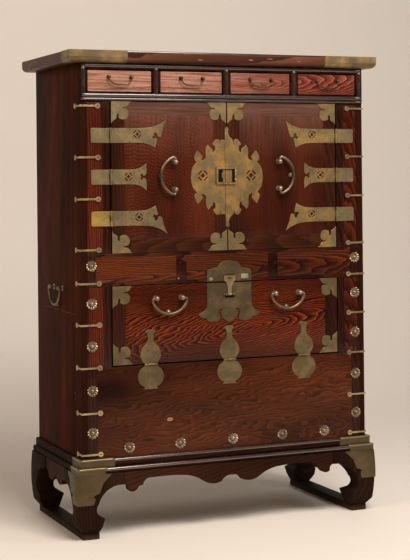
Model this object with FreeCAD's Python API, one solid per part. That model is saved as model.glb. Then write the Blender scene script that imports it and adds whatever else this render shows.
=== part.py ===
"""Korean two tier chest: top board, four small drawers, double-door cupboard, drop-front
cupboard and a stand with scrolled legs. Millimetres, +Z up, the front faces -Y, and the
origin lies on the floor under the middle of the top board."""
import FreeCAD, Part
import math
import os

# Case, from the outside in
case_width = 820.0
case_depth = 379.5
case_foot = 183.0
side_thickness = 15.0
back_thickness = 12.0
board_thickness = 15.0
front_thickness = 25.0
joint_gap = 0.3
same_point = 0.1

# Top board
top_thickness = 31.5
top_side_overhang = 34.2
top_front_overhang = 23.5
top_back_overhang = 19.5
top_round = 14.0

# The front's bands, stacked from the foot of the case up
lower_panel_height = 253.0
flap_hinge_gap = 2.0
flap_height = 205.0
flap_head_gap = 2.2
rail_height = 81.4
door_opening_height = 394.4
sill_height = 20.5
drawer_opening_height = 60.5
head_height = 15.4
lower_panel_top = case_foot + lower_panel_height
flap_axis_height = lower_panel_top + flap_hinge_gap
flap_top = flap_axis_height + flap_height
rail_bottom = flap_top + flap_head_gap
rail_top = rail_bottom + rail_height
drawer_band_bottom = rail_top + door_opening_height
band_sill = drawer_band_bottom + sill_height
band_head = band_sill + drawer_opening_height
case_top = band_head + head_height
case_height = case_top - case_foot

# Widths of the front's members, and the panels let into the stiles
half = case_width / 2
post_width = 40.0
stile_width = 81.0
panel_width = 40.0
panel_side_margin = 20.0
post_inner = half - post_width
opening_half = half - stile_width
panel_outer = half - panel_side_margin
panel_inner = panel_outer - panel_width
panel_margin = 4.0
panel_thickness = 8.0
panel_recess = 0.6

# Brass sheet, nails and hinges
sheet = 1.5
pin_radius = 1.7
knuckle_radius = 3.0
axis_reach = 3.4
running_clearance = 0.05
knuckle_gap = 0.4
nail_radius = 1.6
nail_height = 0.8
overrun = 5.0

front = -(case_depth + top_front_overhang + top_back_overhang) / 2 + top_front_overhang
back = front + case_depth
side_inner = half - side_thickness
body_inner_y = front + front_thickness
back_inner_y = back - back_thickness
AXIS_X = FreeCAD.Vector(1, 0, 0)
AXIS_Y = FreeCAD.Vector(0, 1, 0)
AXIS_Z = FreeCAD.Vector(0, 0, 1)
ORIGIN = FreeCAD.Vector(0, 0, 0)


def box(x0, x1, y0, y1, z0, z1):
    """A block between two corners, given in any order."""
    low = FreeCAD.Vector(min(x0, x1), min(y0, y1), min(z0, z1))
    return Part.makeBox(abs(x1 - x0), abs(y1 - y0), abs(z1 - z0), low)


def rod(start, end, radius):
    """A round bar from one point to another."""
    run = end - start
    return Part.makeCylinder(radius, run.Length, start, run)


def on(point, origin, across, up):
    """The place in space of a point (u, v) of a flat outline."""
    return origin + across * point[0] + up * point[1]


def outline_edges(start, steps, origin, across, up):
    """Edges of an outline: a step (u, v) is a line, a step (u1, v1, u2, v2) an arc through
    its first point to its second."""
    edges = []
    here = on(start, origin, across, up)
    for step in steps:
        there = on(step[-2:], origin, across, up)
        if len(step) == 4:
            middle = on(step[:2], origin, across, up)
            edges.append(Part.Arc(here, middle, there).toShape())
        else:
            edges.append(Part.LineSegment(here, there).toShape())
        here = there
    return edges


def prism(start, steps, origin, across, up, push):
    """A closed outline pushed along a vector."""
    closing = list(steps)
    end = steps[-1][-2:]
    if math.hypot(end[0] - start[0], end[1] - start[1]) > same_point:
        closing.append(tuple(start))
    wire = Part.Wire(outline_edges(start, closing, origin, across, up))
    return Part.Face(wire).extrude(push)


def scaled(steps, width, height):
    """Outline shares turned into sizes."""
    sizes = (width, height, width, height)
    return [tuple(share * size for share, size in zip(step, sizes)) for step in steps]


def reflected(start, steps, sign_u, sign_v):
    """The same path walked backwards in the mirror, to close a symmetric outline."""
    points = [tuple(start)] + [step[-2:] for step in steps]
    walk = []
    for index in range(len(steps) - 1, -1, -1):
        target = points[index]
        through = steps[index][:2] if len(steps[index]) == 4 else ()
        path = tuple(through) + tuple(target)
        signs = (sign_u, sign_v, sign_u, sign_v)
        walk.append(tuple(value * sign for value, sign in zip(path, signs)))
    return walk


def fuse(solids):
    """One solid from pieces that overlap or touch."""
    return solids[0].multiFuse(solids[1:]).removeSplitter() if len(solids) > 1 else solids[0]


def mirror_x(shape):
    """The same piece on the other side of the chest."""
    return shape.mirror(ORIGIN, AXIS_X)


def both_sides(shapes):
    """Every piece and its mirror image."""
    return list(shapes) + [mirror_x(shape) for shape in shapes]


def export(node, solids):
    """Write the solids of one node as one STEP file."""
    shape = Part.makeCompound(list(solids))
    shape.exportStep("parts/" + node + ".step")
    print(node, len(shape.Solids), "solids, valid", shape.isValid())


def nail(x, y, z, outward):
    """A round-headed brass nail on a face, standing out along a unit vector."""
    return Part.makeCylinder(nail_radius, nail_height, FreeCAD.Vector(x, y, z), outward)


os.makedirs("parts", exist_ok=True)

# Case boards
side_board = box(side_inner, half, front, back, case_foot, case_top)
export("side_board_right", [side_board])
export("side_board_left", [mirror_x(side_board)])
export("back_panel", [box(-side_inner, side_inner, back_inner_y, back, case_foot, case_top)])
floor_top = case_foot + board_thickness
export("bottom_board", [box(-side_inner, side_inner, front, back_inner_y, case_foot, floor_top)])
shelf_low = rail_top - board_thickness
export("middle_shelf",
       [box(-side_inner, side_inner, body_inner_y, back_inner_y, shelf_low, rail_top)])

# Top board: rounded under its edge, with brass caps let in flush at the two front corners
cap_sheet = 1.2
cap_front_length = 158.0
cap_side_length = 66.0
cap_lap = 20.0


def top_blank(inset):
    """The top board's form, drawn in by an inset on every face but the underside's middle."""
    x1 = half + top_side_overhang - inset
    y0 = front - top_front_overhang + inset
    y1 = back + top_back_overhang - inset
    blank = box(-x1, x1, y0, y1, case_top + inset, case_top + top_thickness - inset)
    low = [edge for edge in blank.Edges
           if edge.BoundBox.ZMax < case_top + top_thickness / 2]
    return blank.makeFillet(top_round - inset, low)


top_form = top_blank(0)
cap_skin = top_form.cut(top_blank(cap_sheet))
top_x = half + top_side_overhang
top_y = front - top_front_overhang
front_zone = box(top_x - cap_front_length, top_x + overrun, top_y - overrun, top_y + cap_lap,
                 case_top - overrun, case_top + top_thickness + overrun)
side_zone = box(top_x - cap_lap, top_x + overrun, top_y - overrun, top_y + cap_side_length,
                case_top - overrun, case_top + top_thickness + overrun)
corner_cap = cap_skin.common(fuse([front_zone, side_zone]))
caps = both_sides([corner_cap])
export("top_corner_caps", caps)
export("top_board", [top_form.cut(Part.makeCompound(caps))])

# Stiles beside the doors and the flap, each with a figured panel let into its face
tiers = ((floor_top, lower_panel_top, False), (lower_panel_top, rail_bottom, True),
         (rail_bottom, rail_top, False), (rail_top, drawer_band_bottom, True))


def tier_stile(bottom, top, has_panel):
    """A stile's share of one band: wide with a recess beside an opening, else narrow."""
    inner = opening_half if has_panel else post_inner
    block = box(inner, side_inner, front, body_inner_y, bottom, top)
    if not has_panel:
        return block
    return block.cut(box(panel_inner, panel_outer, front - overrun, front + panel_thickness,
                         bottom + panel_margin, top - panel_margin))


export("front_stiles", both_sides([fuse([tier_stile(*tier) for tier in tiers])]))
stile_panels = [box(panel_inner, panel_outer, front + panel_recess, front + panel_thickness,
                    bottom + panel_margin, top - panel_margin)
                for bottom, top, has_panel in tiers if has_panel]

# Middle rail: two thin rails, two muntins and three figured panels
rail_edge = 8.0
rail_muntin_width = 28.0
rail_muntin_share = 0.3595
rail_muntin_inner = post_inner * rail_muntin_share - rail_muntin_width / 2
rail_muntin_outer = rail_muntin_inner + rail_muntin_width
panel_low = rail_bottom + rail_edge
panel_high = rail_top - rail_edge
rail_bars = [box(-post_inner, post_inner, front, body_inner_y, rail_bottom, panel_low),
             box(-post_inner, post_inner, front, body_inner_y, panel_high, rail_top)]
rail_bars += both_sides([box(rail_muntin_inner, rail_muntin_outer, front, body_inner_y,
                             panel_low, panel_high)])
export("middle_rail", rail_bars)
rail_spans = ((-post_inner, -rail_muntin_outer), (-rail_muntin_inner, rail_muntin_inner),
              (rail_muntin_outer, post_inner))
rail_panels = [box(x0, x1, front + panel_recess, body_inner_y, panel_low, panel_high)
               for x0, x1 in rail_spans]
export("front_panels", both_sides(stile_panels) + rail_panels)
export("lower_front_panel",
       [box(-post_inner, post_inner, front, body_inner_y, floor_top, lower_panel_top)])

# Drawer row: a moulded frame of rails, end stiles and muntins with half-round beads
frame_reach = 2.0
bead_radius = 2.2
band_end_width = 19.0
drawer_reach = half - band_end_width
muntin_width = 20.0
muntin_bead = 4.0
drawer_count = 4
frame_front = front - frame_reach
opening_width = (2 * drawer_reach - (drawer_count - 1) * muntin_width) / drawer_count
opening_pitch = opening_width + muntin_width
drawer_centres = [(index - (drawer_count - 1) / 2) * opening_pitch
                  for index in range(drawer_count)]
bead_inset = 7.0
edge_bead_inset = bead_radius + joint_gap


def frame_bar(x0, x1, z0, z1, beads):
    """One member of the drawer frame with its beads."""
    bar = box(x0, x1, frame_front, body_inner_y, z0, z1)
    return fuse([bar] + beads)


def level_bead(z):
    """A raised bead along the whole width of the frame, half sunk in its face."""
    return rod(FreeCAD.Vector(-half + bead_radius, frame_front, z),
               FreeCAD.Vector(half - bead_radius, frame_front, z), bead_radius)


def upright_bead(x, radius):
    """A bead up one member, between the rails."""
    return rod(FreeCAD.Vector(x, frame_front, band_sill),
               FreeCAD.Vector(x, frame_front, band_head), radius)


frame_bars = [frame_bar(-half, half, drawer_band_bottom, band_sill,
                        [level_bead(band_sill - bead_inset)]),
              frame_bar(-half, half, band_head, case_top,
                        [level_bead(case_top - edge_bead_inset)])]
for sign in (-1, 1):
    outer = sign * half
    frame_bars.append(frame_bar(sign * drawer_reach, outer, band_sill, band_head,
                                [upright_bead(outer - sign * edge_bead_inset, bead_radius),
                                 upright_bead(sign * (drawer_reach + bead_inset), bead_radius)]))
for left_centre in drawer_centres[:-1]:
    middle = left_centre + opening_pitch / 2
    frame_bars.append(frame_bar(middle - muntin_width / 2, middle + muntin_width / 2,
                                band_sill, band_head, [upright_bead(middle, muntin_bead)]))
frame_notch = box(side_inner, half, front, body_inner_y, drawer_band_bottom, case_top)
notches = Part.makeCompound(both_sides([frame_notch]))
export("drawer_frame", [bar.cut(notches) for bar in frame_bars])

# Deck under the drawers and the dividers between them
deck_top = band_sill - joint_gap
divider_thickness = 14.0
deck = [box(-side_inner, side_inner, body_inner_y, back_inner_y, deck_top - board_thickness,
            deck_top)]
for left_centre in drawer_centres[:-1]:
    middle = left_centre + opening_pitch / 2
    deck.append(box(middle - divider_thickness / 2, middle + divider_thickness / 2,
                    body_inner_y, back_inner_y, deck_top, case_top))
export("drawer_deck", deck)

# Drawers: a figured front with sides, back and bottom
drawer_gap = 1.2
drawer_front_thickness = 14.0
drawer_wall = 8.0
drawer_bottom = 5.0
drawer_depth_share = 0.8432
drawer_depth = case_depth * drawer_depth_share
drawer_setback = 0.8
drawer_drop = 6.0


def drawer_box(centre):
    """A drawer open at the top, its walls a little lower than its front."""
    reach = opening_width / 2 - drawer_gap
    low = band_sill + drawer_gap / 2
    high = band_head - drawer_gap
    y0 = front - frame_reach + drawer_setback
    y1 = y0 + drawer_depth
    body = box(centre - reach, centre + reach, y0, y1, low, high)
    hollow = box(centre - reach + drawer_wall, centre + reach - drawer_wall,
                 y0 + drawer_front_thickness, y1 - drawer_wall, low + drawer_bottom,
                 high + overrun)
    lowered = box(centre - reach - overrun, centre + reach + overrun,
                  y0 + drawer_front_thickness, y1 + overrun, high - drawer_drop, high + overrun)
    return body.cut(hollow).cut(lowered)


drawer_names = ["drawer_%d" % (index + 1) for index in range(drawer_count)]
for name, centre in zip(drawer_names, drawer_centres):
    export(name + "_box", [drawer_box(centre)])
drawer_face = front - frame_reach + drawer_setback

# Base moulding: four mitred strips round the foot of the case
moulding_reach = 8.0
moulding_height = 21.0
moulding_round = 3.0
moulding_top = case_foot + moulding_height


def ring(x_half, y0, y1, z0, z1, wide):
    """Four bars round a rectangle: front, back and the two sides between them."""
    return [box(-x_half, x_half, y0, y0 + wide, z0, z1),
            box(-x_half, x_half, y1 - wide, y1, z0, z1)] + both_sides(
                [box(x_half - wide, x_half, y0 + wide, y1 - wide, z0, z1)])


def rounded_outer(bar, x_half, y0, y1, z1, radius):
    """Round the outer top edges of a moulding strip."""
    chosen = []
    for edge in bar.Edges:
        bounds = edge.BoundBox
        on_top = bounds.ZMin > z1 - joint_gap
        long_x = bounds.XLength > bounds.YLength
        outer_y = min(abs(bounds.YMin - y0), abs(bounds.YMax - y1)) < joint_gap
        outer_x = min(abs(bounds.XMin + x_half), abs(bounds.XMax - x_half)) < joint_gap
        if on_top and ((long_x and outer_y) or (not long_x and outer_x
                                                and bounds.XLength < joint_gap)):
            chosen.append(edge)
    return bar.makeFillet(radius, chosen) if chosen else bar


moulding_x = half + moulding_reach
moulding_y0 = front - moulding_reach
moulding_y1 = back + moulding_reach
moulding = [rounded_outer(bar, moulding_x, moulding_y0, moulding_y1, moulding_top,
                          moulding_round)
            for bar in ring(moulding_x, moulding_y0, moulding_y1, case_foot, moulding_top,
                            moulding_reach)]
export("base_moulding", moulding)

# Stand: a top frame, four scrolled corner legs, shaped aprons and two floor stretchers
stand_frame_height = 15.0
stand_frame_reach = 15.0
stand_frame_wide = 30.0
leg_top = case_foot - stand_frame_height
leg_wing = 107.0
wing_depth = 8.0
stretcher_height = 18.0
apron_reach = 14.0
apron_thickness = 20.0
# Shares of the wing's length inward from the case's face, and of the leg's height
foot_height_share = stretcher_height / leg_top
leg_foot_share = 0.411
leg_toe_share = -0.009
leg_inner_shares = [(1.0, 0.815), (0.84, 0.815), (0.54, 0.738, 0.336, 0.548),
                    (0.29, 0.458, 0.355, 0.369), (0.505, 0.321),
                    (leg_foot_share, foot_height_share)]
leg_outer_shares = [(leg_toe_share, foot_height_share), (-0.131, 0.208),
                    (-0.178, 0.655, -0.15, 1.0)]

frame_x = half + stand_frame_reach
frame_y0 = front - stand_frame_reach
frame_y1 = back + stand_frame_reach
stand_frame = [rounded_outer(bar, frame_x, frame_y0, frame_y1, case_foot, moulding_round)
               for bar in ring(frame_x, frame_y0, frame_y1, leg_top, case_foot,
                               stand_frame_wide)]
export("stand_frame", stand_frame)


def leg_profile(origin, across, push):
    """The scrolled outline of one face of a leg, pushed through the corner."""
    start = (leg_wing, leg_top)
    steps = scaled(leg_inner_shares + leg_outer_shares, leg_wing, leg_top)
    return prism(start, steps, origin, across, AXIS_Z, push)


def leg_envelope(growth):
    """The corner's outer form: the same bowed contour on both faces."""
    outer = [(step[0] - growth, step[1]) if len(step) == 2 else
             (step[0] - growth, step[1], step[2] - growth, step[3])
             for step in scaled(leg_outer_shares, leg_wing, leg_top)]
    start = (leg_wing + overrun, leg_top)
    steps = [(leg_wing + overrun, stretcher_height)] + outer
    on_front = prism(start, steps, FreeCAD.Vector(half, front - leg_wing, 0), -AXIS_X, AXIS_Z,
                     AXIS_Y * (2 * leg_wing + overrun))
    on_side = prism(start, steps, FreeCAD.Vector(half + leg_wing, front, 0), AXIS_Y, AXIS_Z,
                    -AXIS_X * (2 * leg_wing + overrun))
    return on_front.common(on_side)


def corner_leg():
    """The right front leg: two shaped wings and a square column where they meet."""
    front_full = leg_profile(FreeCAD.Vector(half, front - leg_wing, 0), -AXIS_X,
                             AXIS_Y * (2 * leg_wing))
    side_full = leg_profile(FreeCAD.Vector(half + leg_wing, front, 0), AXIS_Y,
                            -AXIS_X * (2 * leg_wing))
    low = -overrun
    high = leg_top + overrun
    front_wing = front_full.common(box(-half, half + leg_wing, front - leg_wing,
                                       front + wing_depth, low, high))
    side_wing = side_full.common(box(half - wing_depth, half + leg_wing, front - leg_wing,
                                     back, low, high))
    column = front_full.common(side_full)
    return fuse([front_wing, side_wing, column]).common(leg_envelope(0))


def mirror_y(shape):
    """The same piece at the back of the chest."""
    return shape.mirror(FreeCAD.Vector(0, (front + back) / 2, 0), AXIS_Y)


front_leg = corner_leg()
legs = both_sides([front_leg, mirror_y(front_leg)])
export("stand_legs", legs)
foot_inner = half - leg_wing * leg_foot_share
foot_outer = half - leg_wing * leg_toe_share
foot_out = foot_outer - half
export("floor_stretchers", both_sides([box(foot_inner, foot_outer, front - foot_out,
                                           back + foot_out, 0, stretcher_height)]))

# Aprons: shares of half the apron's length and of the leg's height, from the middle out
front_apron_shares = [(0.05, 0.79, 0.10, 0.714), (0.165, 0.69, 0.25, 0.726),
                      (0.32, 0.80, 0.43, 0.863), (0.55, 0.881), (0.76, 0.881),
                      (0.81, 0.85, 0.83, 0.78), (0.865, 0.768), (0.885, 0.72),
                      (0.93, 0.69, 0.965, 0.72), (0.97, 0.78, 1.0, 0.815)]
side_apron_shares = [(0.20, 0.73, 0.30, 0.705), (0.48, 0.69, 0.68, 0.726),
                     (0.76, 0.79, 1.0, 0.815)]
apron_centre_share = 0.80


def apron(length_half, shares, origin, across, push):
    """A shaped apron under the stand's frame."""
    start = (0.0, leg_top * apron_centre_share)
    steps = scaled(shares, length_half, leg_top)
    top = [(length_half, leg_top), (-length_half, leg_top)]
    other = reflected(start, steps, -1, 1)
    corner = [(-length_half, steps[-1][-1])]
    return prism(start, steps + top + corner + other, origin, across, AXIS_Z, push)


front_apron = apron(half - leg_wing, front_apron_shares,
                    FreeCAD.Vector(0, front - apron_reach, 0), AXIS_X, AXIS_Y * apron_thickness)
side_middle = (front + back) / 2
side_apron = apron(case_depth / 2 - leg_wing, side_apron_shares,
                   FreeCAD.Vector(half + apron_reach, side_middle, 0), AXIS_Y,
                   -AXIS_X * apron_thickness)
export("front_apron", [front_apron])
export("side_aprons", both_sides([side_apron]) + [mirror_y(front_apron)])

# Brass on the stand: plates wrapped round the front legs, clips round both mouldings
leg_plate_reach = 72.0
leg_plate_drop = 76.0
clip_length = 93.0
clip_side_length = 64.0
leg_plate_shares = [(0.67, -0.30), (0.53, -0.63), (0.42, -0.66, 0.28, -0.72),
                    (0.36, -0.80, 0.35, -0.86), (0.28, -0.99, 0.18, -1.0), (-0.6, -1.0),
                    (-0.6, 0.0)]


def leg_plate():
    """A sheet bent round the leg's corner, cut to a pointed outline on both faces."""
    skin = leg_envelope(sheet).cut(leg_envelope(0))
    steps = scaled(leg_plate_shares, leg_plate_reach, leg_plate_drop)
    start = (leg_plate_reach, 0.0)
    front_cut = prism(start, steps, FreeCAD.Vector(half, front - leg_wing, leg_top), -AXIS_X,
                      AXIS_Z, AXIS_Y * leg_wing)
    side_cut = prism(start, steps, FreeCAD.Vector(half + leg_wing, front, leg_top), AXIS_Y,
                     AXIS_Z, -AXIS_X * leg_wing)
    return skin.common(fuse([front_cut, side_cut]))


def corner_clip(reach, low, high, length, side_length):
    """A brass angle round a moulding's front corner, lapped over its top."""
    outer = reach + sheet
    arms = fuse([box(half + outer - length, half + outer, front - outer, front, low,
                     high + sheet),
                 box(half, half + outer, front - outer, front - outer + side_length, low,
                     high + sheet)])
    return arms


moulding_clip = corner_clip(moulding_reach, case_foot + sheet, moulding_top, clip_length,
                            clip_side_length)
frame_clip = corner_clip(stand_frame_reach, leg_top, case_foot, leg_plate_reach, clip_side_length)
wood = Part.makeCompound(moulding + stand_frame)
mounts = [leg_plate(), moulding_clip.cut(wood), frame_clip.cut(wood).cut(moulding_clip)]
export("stand_corner_mounts", both_sides(mounts))

# Elbow straps: thin brass bars bent round the front corners, each end a pierced disc
elbow_width = 4.6
elbow_thickness = 2.4
elbow_head = 7.0
elbow_head_thickness = 3.4
elbow_hole = 1.6
elbow_front_run = 48.0
elbow_side_run = 30.0
elbow_head_x = half - elbow_front_run
elbow_shares = (0.0319, 0.1334, 0.2451, 0.3509, 0.4534, 0.5365, 0.6622, 0.7657, 0.8933)
elbow_heights = [case_foot + case_height * share for share in elbow_shares]


def elbow(z):
    """One strap on the right corner at a height."""
    face_x = half
    bars = [box(elbow_head_x, face_x + elbow_thickness, front - elbow_thickness, front,
                z - elbow_width / 2, z + elbow_width / 2),
            box(face_x, face_x + elbow_thickness, front - elbow_thickness,
                front + elbow_side_run, z - elbow_width / 2, z + elbow_width / 2)]
    front_head = Part.makeCylinder(elbow_head, elbow_head_thickness,
                                   FreeCAD.Vector(elbow_head_x, front, z), -AXIS_Y)
    side_head = Part.makeCylinder(elbow_head, elbow_head_thickness,
                                  FreeCAD.Vector(face_x, front + elbow_side_run, z), AXIS_X)
    front_hole = Part.makeCylinder(elbow_hole, elbow_head_thickness,
                                   FreeCAD.Vector(elbow_head_x, front, z), -AXIS_Y)
    side_hole = Part.makeCylinder(elbow_hole, elbow_head_thickness,
                                  FreeCAD.Vector(face_x, front + elbow_side_run, z), AXIS_X)
    return fuse(bars + [front_head, side_head]).cut(fuse([front_hole, side_hole]))


export("elbow_straps", both_sides([elbow(z) for z in elbow_heights]))

# Chrysanthemum nails: a ring of petals round a domed eye
flower_radius = 15.5
flower_petals = 10
flower_thickness = 2.6
flower_eye = 5.2
flower_dip_share = 0.80
flower_margin = 28.0
flower_row_rise = 44.0
flower_stile_x = half - flower_margin
flower_shares = (0.0846, 0.1885, 0.2982, 0.4031, 0.4969)
flower_heights = [case_foot + case_height * share for share in flower_shares]
flower_row_shares = (-0.765, -0.381, 0.027, 0.4216, 0.765)
flower_row_x = [post_inner * share for share in flower_row_shares]
flower_row_height = case_foot + flower_row_rise


def flower(x, z):
    """One flower nail: petals as arcs between dips, with a half-round eye."""
    dips = []
    tips = []
    for index in range(flower_petals):
        dip = 2 * math.pi * index / flower_petals
        tip = dip + math.pi / flower_petals
        dips.append((flower_radius * flower_dip_share * math.cos(dip),
                     flower_radius * flower_dip_share * math.sin(dip)))
        tips.append((flower_radius * math.cos(tip), flower_radius * math.sin(tip)))
    steps = [tips[index] + dips[(index + 1) % flower_petals] for index in range(flower_petals)]
    place = FreeCAD.Vector(x, front, z)
    petals = prism(dips[0], steps, place, AXIS_X, AXIS_Z, -AXIS_Y * flower_thickness)
    eye = Part.makeSphere(flower_eye, place - AXIS_Y * flower_thickness)
    behind = box(x - flower_radius, x + flower_radius, front, front + flower_radius,
                 z - flower_radius, z + flower_radius)
    return fuse([petals, eye.cut(behind)])


export("flower_nails", both_sides([flower(flower_stile_x, z) for z in flower_heights])
       + [flower(x, flower_row_height) for x in flower_row_x])

# Pierced lozenge: a small diamond between four strokes
stroke_count = 4
stroke_width_share = 0.20
stroke_length_share = 0.75
stroke_offset_share = 0.68
diamond_share = 0.42


def lozenge(x, z, size):
    """Cutting bodies for one pierced lozenge through a front plate."""
    place = FreeCAD.Vector(x, front - sheet - overrun, z)
    push = AXIS_Y * (sheet + 2 * overrun)
    cutters = []
    reach = size * diamond_share
    cutters.append(prism((reach, 0.0), [(0.0, reach), (-reach, 0.0), (0.0, -reach)], place,
                         AXIS_X, AXIS_Z, push))
    long_half = size * stroke_length_share / 2
    wide_half = size * stroke_width_share / 2
    for stroke in range(stroke_count):
        turn = math.pi * (2 * stroke + 1) / stroke_count
        outward = AXIS_X * math.cos(turn) + AXIS_Z * math.sin(turn)
        along = AXIS_X * -math.sin(turn) + AXIS_Z * math.cos(turn)
        centre = place + outward * (size * stroke_offset_share)
        cutters.append(prism((long_half, wide_half),
                             [(-long_half, wide_half), (-long_half, -wide_half),
                              (long_half, -wide_half)], centre, along, outward, push))
    return cutters


# Corner plates with two scrolled lobes, used on the doors and the flap
corner_wide = 54.0
corner_high = 57.0
corner_shares = [(0.87, 0.12, 0.74, 0.27), (0.60, 0.33, 0.62, 0.41), (0.75, 0.46),
                 (0.86, 0.62, 0.72, 0.775), (0.56, 0.80, 0.46, 0.66), (0.36, 0.57, 0.26, 0.63),
                 (0.14, 0.80, 0.0, 1.0)]
nail_inset = 6.0


def corner_plate(x, z, sign_x, sign_z):
    """A plate whose square corner is at (x, z) and whose arms run inward."""
    steps = [(corner_wide, 0.0)] + scaled(corner_shares, corner_wide, corner_high)
    place = FreeCAD.Vector(x, front, z)
    leaf = prism((0.0, 0.0), steps, place, AXIS_X * sign_x, AXIS_Z * sign_z, -AXIS_Y * sheet)
    heads = [nail(x + sign_x * u, front - sheet, z + sign_z * v, -AXIS_Y)
             for u, v in ((nail_inset, nail_inset), (corner_wide - 2 * nail_inset, nail_inset),
                          (nail_inset, corner_high - 2 * nail_inset))]
    return fuse([leaf] + heads)


# Door strap hinges: a leaf on the stile, a flared leaf on the door and a pin between
door_axis_inset = 1.5
door_axis_x = opening_half - door_axis_inset
door_axis_y = front - axis_reach
strap_high = 38.0
strap_shares = (0.7731, 0.5018, 0.2305)
strap_heights = [rail_top + door_opening_height * share for share in strap_shares]
strap_start = 4.2
strap_long = 154.0
strap_short = 98.0
strap_flare = 42.5
mid_flare = 36.0
strap_bend_share = 0.49
mid_bend_share = 0.63
frame_leaf_margin = 29.0
frame_leaf_end = half - frame_leaf_margin
leaf_round = 4.0
knuckle_count = 3
frame_knuckles = 0
leaf_knuckles = 1
long_strap_shares = [(0.66, -0.50, 0.78, -0.72), (0.80, -0.58, 0.825, -0.46), (0.84, -0.22),
                     (0.79, -0.10, 0.805, 0.0), (0.85, 0.13, 0.90, 0.06), (0.935, 0.32),
                     (0.96, 0.68, 1.0, 1.0), (0.78, 0.58)]
mid_strap_shares = [(0.82, -0.64, 1.0, -1.0), (0.965, -0.60, 0.975, -0.28), (0.90, -0.14),
                    (0.86, 0.0, 0.90, 0.14), (0.975, 0.28), (0.965, 0.60, 1.0, 1.0),
                    (0.82, 0.64)]
lozenge_size = 13.0
strap_lozenges = ((73.5, 3.5), (48.5, 0.5), (76.5, 2.5))
strap_holes = (12.0, 22.0)


def knuckles(x, z, length, keep, across):
    """Barrel segments about a hinge line, keeping every second one from keep on."""
    barrels = []
    span = length / knuckle_count
    for index in range(keep, knuckle_count, 2):
        low = -length / 2 + index * span + (knuckle_gap / 2 if index else 0)
        high = -length / 2 + (index + 1) * span - (knuckle_gap / 2
                                                   if index < knuckle_count - 1 else 0)
        start = FreeCAD.Vector(x, door_axis_y, z) + across * low
        end = FreeCAD.Vector(x, door_axis_y, z) + across * high
        barrel = rod(start, end, knuckle_radius)
        bore = rod(start - across * overrun, end + across * overrun,
                   pin_radius + running_clearance)
        barrels.append((barrel, bore, low, high))
    return barrels


def strap_outline(length, flare, bend_share, shares):
    """The door leaf's outline: start point and steps, inward u and upward v. The last share
    is the point that the arc back to the upper edge runs through."""
    edge = strap_high / 2
    bend = length * bend_share
    walk = scaled(shares, length, flare)
    return_arc = walk[-1] + (bend, edge)
    steps = [(bend, -edge)] + walk[:-1] + [return_arc, (strap_start, edge)]
    return (strap_start, -edge), steps


def door_leaf(z, lozenge_reach, lozenge_lift):
    """The right door's strap leaf at one of the three heights, with its pierced lozenge."""
    if z == strap_heights[1]:
        start, steps = strap_outline(strap_short, mid_flare, mid_bend_share, mid_strap_shares)
    else:
        start, steps = strap_outline(strap_long, strap_flare, strap_bend_share,
                                     long_strap_shares)
    up = -AXIS_Z if z == strap_heights[-1] else AXIS_Z
    leaf = prism(start, steps, FreeCAD.Vector(door_axis_x, front, z), -AXIS_X, up,
                 -AXIS_Y * sheet)
    solids = [leaf]
    for barrel, bore, low, high in knuckles(door_axis_x, z, strap_high, leaf_knuckles, AXIS_Z):
        web = box(door_axis_x - strap_start - sheet, door_axis_x, front - sheet, front,
                  z + low, z + high)
        solids += [web, barrel]
    joined = fuse(solids)
    for barrel, bore, low, high in knuckles(door_axis_x, z, strap_high, leaf_knuckles, AXIS_Z):
        joined = joined.cut(bore)
    joined = joined.cut(Part.makeCompound(lozenge(door_axis_x - lozenge_reach,
                                                  z + lozenge_lift, lozenge_size)))
    heads = [nail(door_axis_x - u, front - sheet, z + v, -AXIS_Y)
             for u in strap_holes for v in (-strap_high / 2 + nail_inset,
                                            strap_high / 2 - nail_inset)]
    return fuse([joined] + heads)


def frame_leaf(z):
    """The stile's leaf of one strap hinge."""
    edge = strap_high / 2
    length = frame_leaf_end - door_axis_x
    start = (strap_start, -edge)
    round_share = 1 - math.sqrt(0.5)
    steps = [(length - leaf_round, -edge),
             (length - leaf_round * round_share, -edge + leaf_round * round_share,
              length, -edge + leaf_round),
             (length, edge - leaf_round),
             (length - leaf_round * round_share, edge - leaf_round * round_share,
              length - leaf_round, edge),
             (strap_start, edge)]
    leaf = prism(start, steps, FreeCAD.Vector(door_axis_x, front, z), AXIS_X, AXIS_Z,
                 -AXIS_Y * sheet)
    solids = [leaf]
    for barrel, bore, low, high in knuckles(door_axis_x, z, strap_high, frame_knuckles, AXIS_Z):
        web = box(door_axis_x, door_axis_x + strap_start + sheet, front - sheet, front,
                  z + low, z + high)
        solids += [web, barrel]
    joined = fuse(solids)
    for barrel, bore, low, high in knuckles(door_axis_x, z, strap_high, frame_knuckles, AXIS_Z):
        joined = joined.cut(bore)
    heads = [nail(door_axis_x + u, front - sheet, z + v, -AXIS_Y)
             for u in (strap_holes[0], length - nail_inset)
             for v in (-edge + nail_inset, edge - nail_inset)]
    return fuse([joined] + heads)


def strap_pin(z):
    """The pin of one strap hinge, as long as its knuckles."""
    return rod(FreeCAD.Vector(door_axis_x, door_axis_y, z - strap_high / 2),
               FreeCAD.Vector(door_axis_x, door_axis_y, z + strap_high / 2), pin_radius)


export("door_frame_leaves", both_sides([frame_leaf(z) for z in strap_heights]))

# Doors: a flush frame round a figured panel
door_thickness = 20.0
door_border = 36.0
door_panel_thickness = 12.0
door_seam = 1.6
door_edge_gap = 1.2
door_hinge_clear = 2.0
door_hinge_edge = door_axis_x - door_hinge_clear
door_low = rail_top + door_edge_gap
door_high = drawer_band_bottom - door_edge_gap


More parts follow.
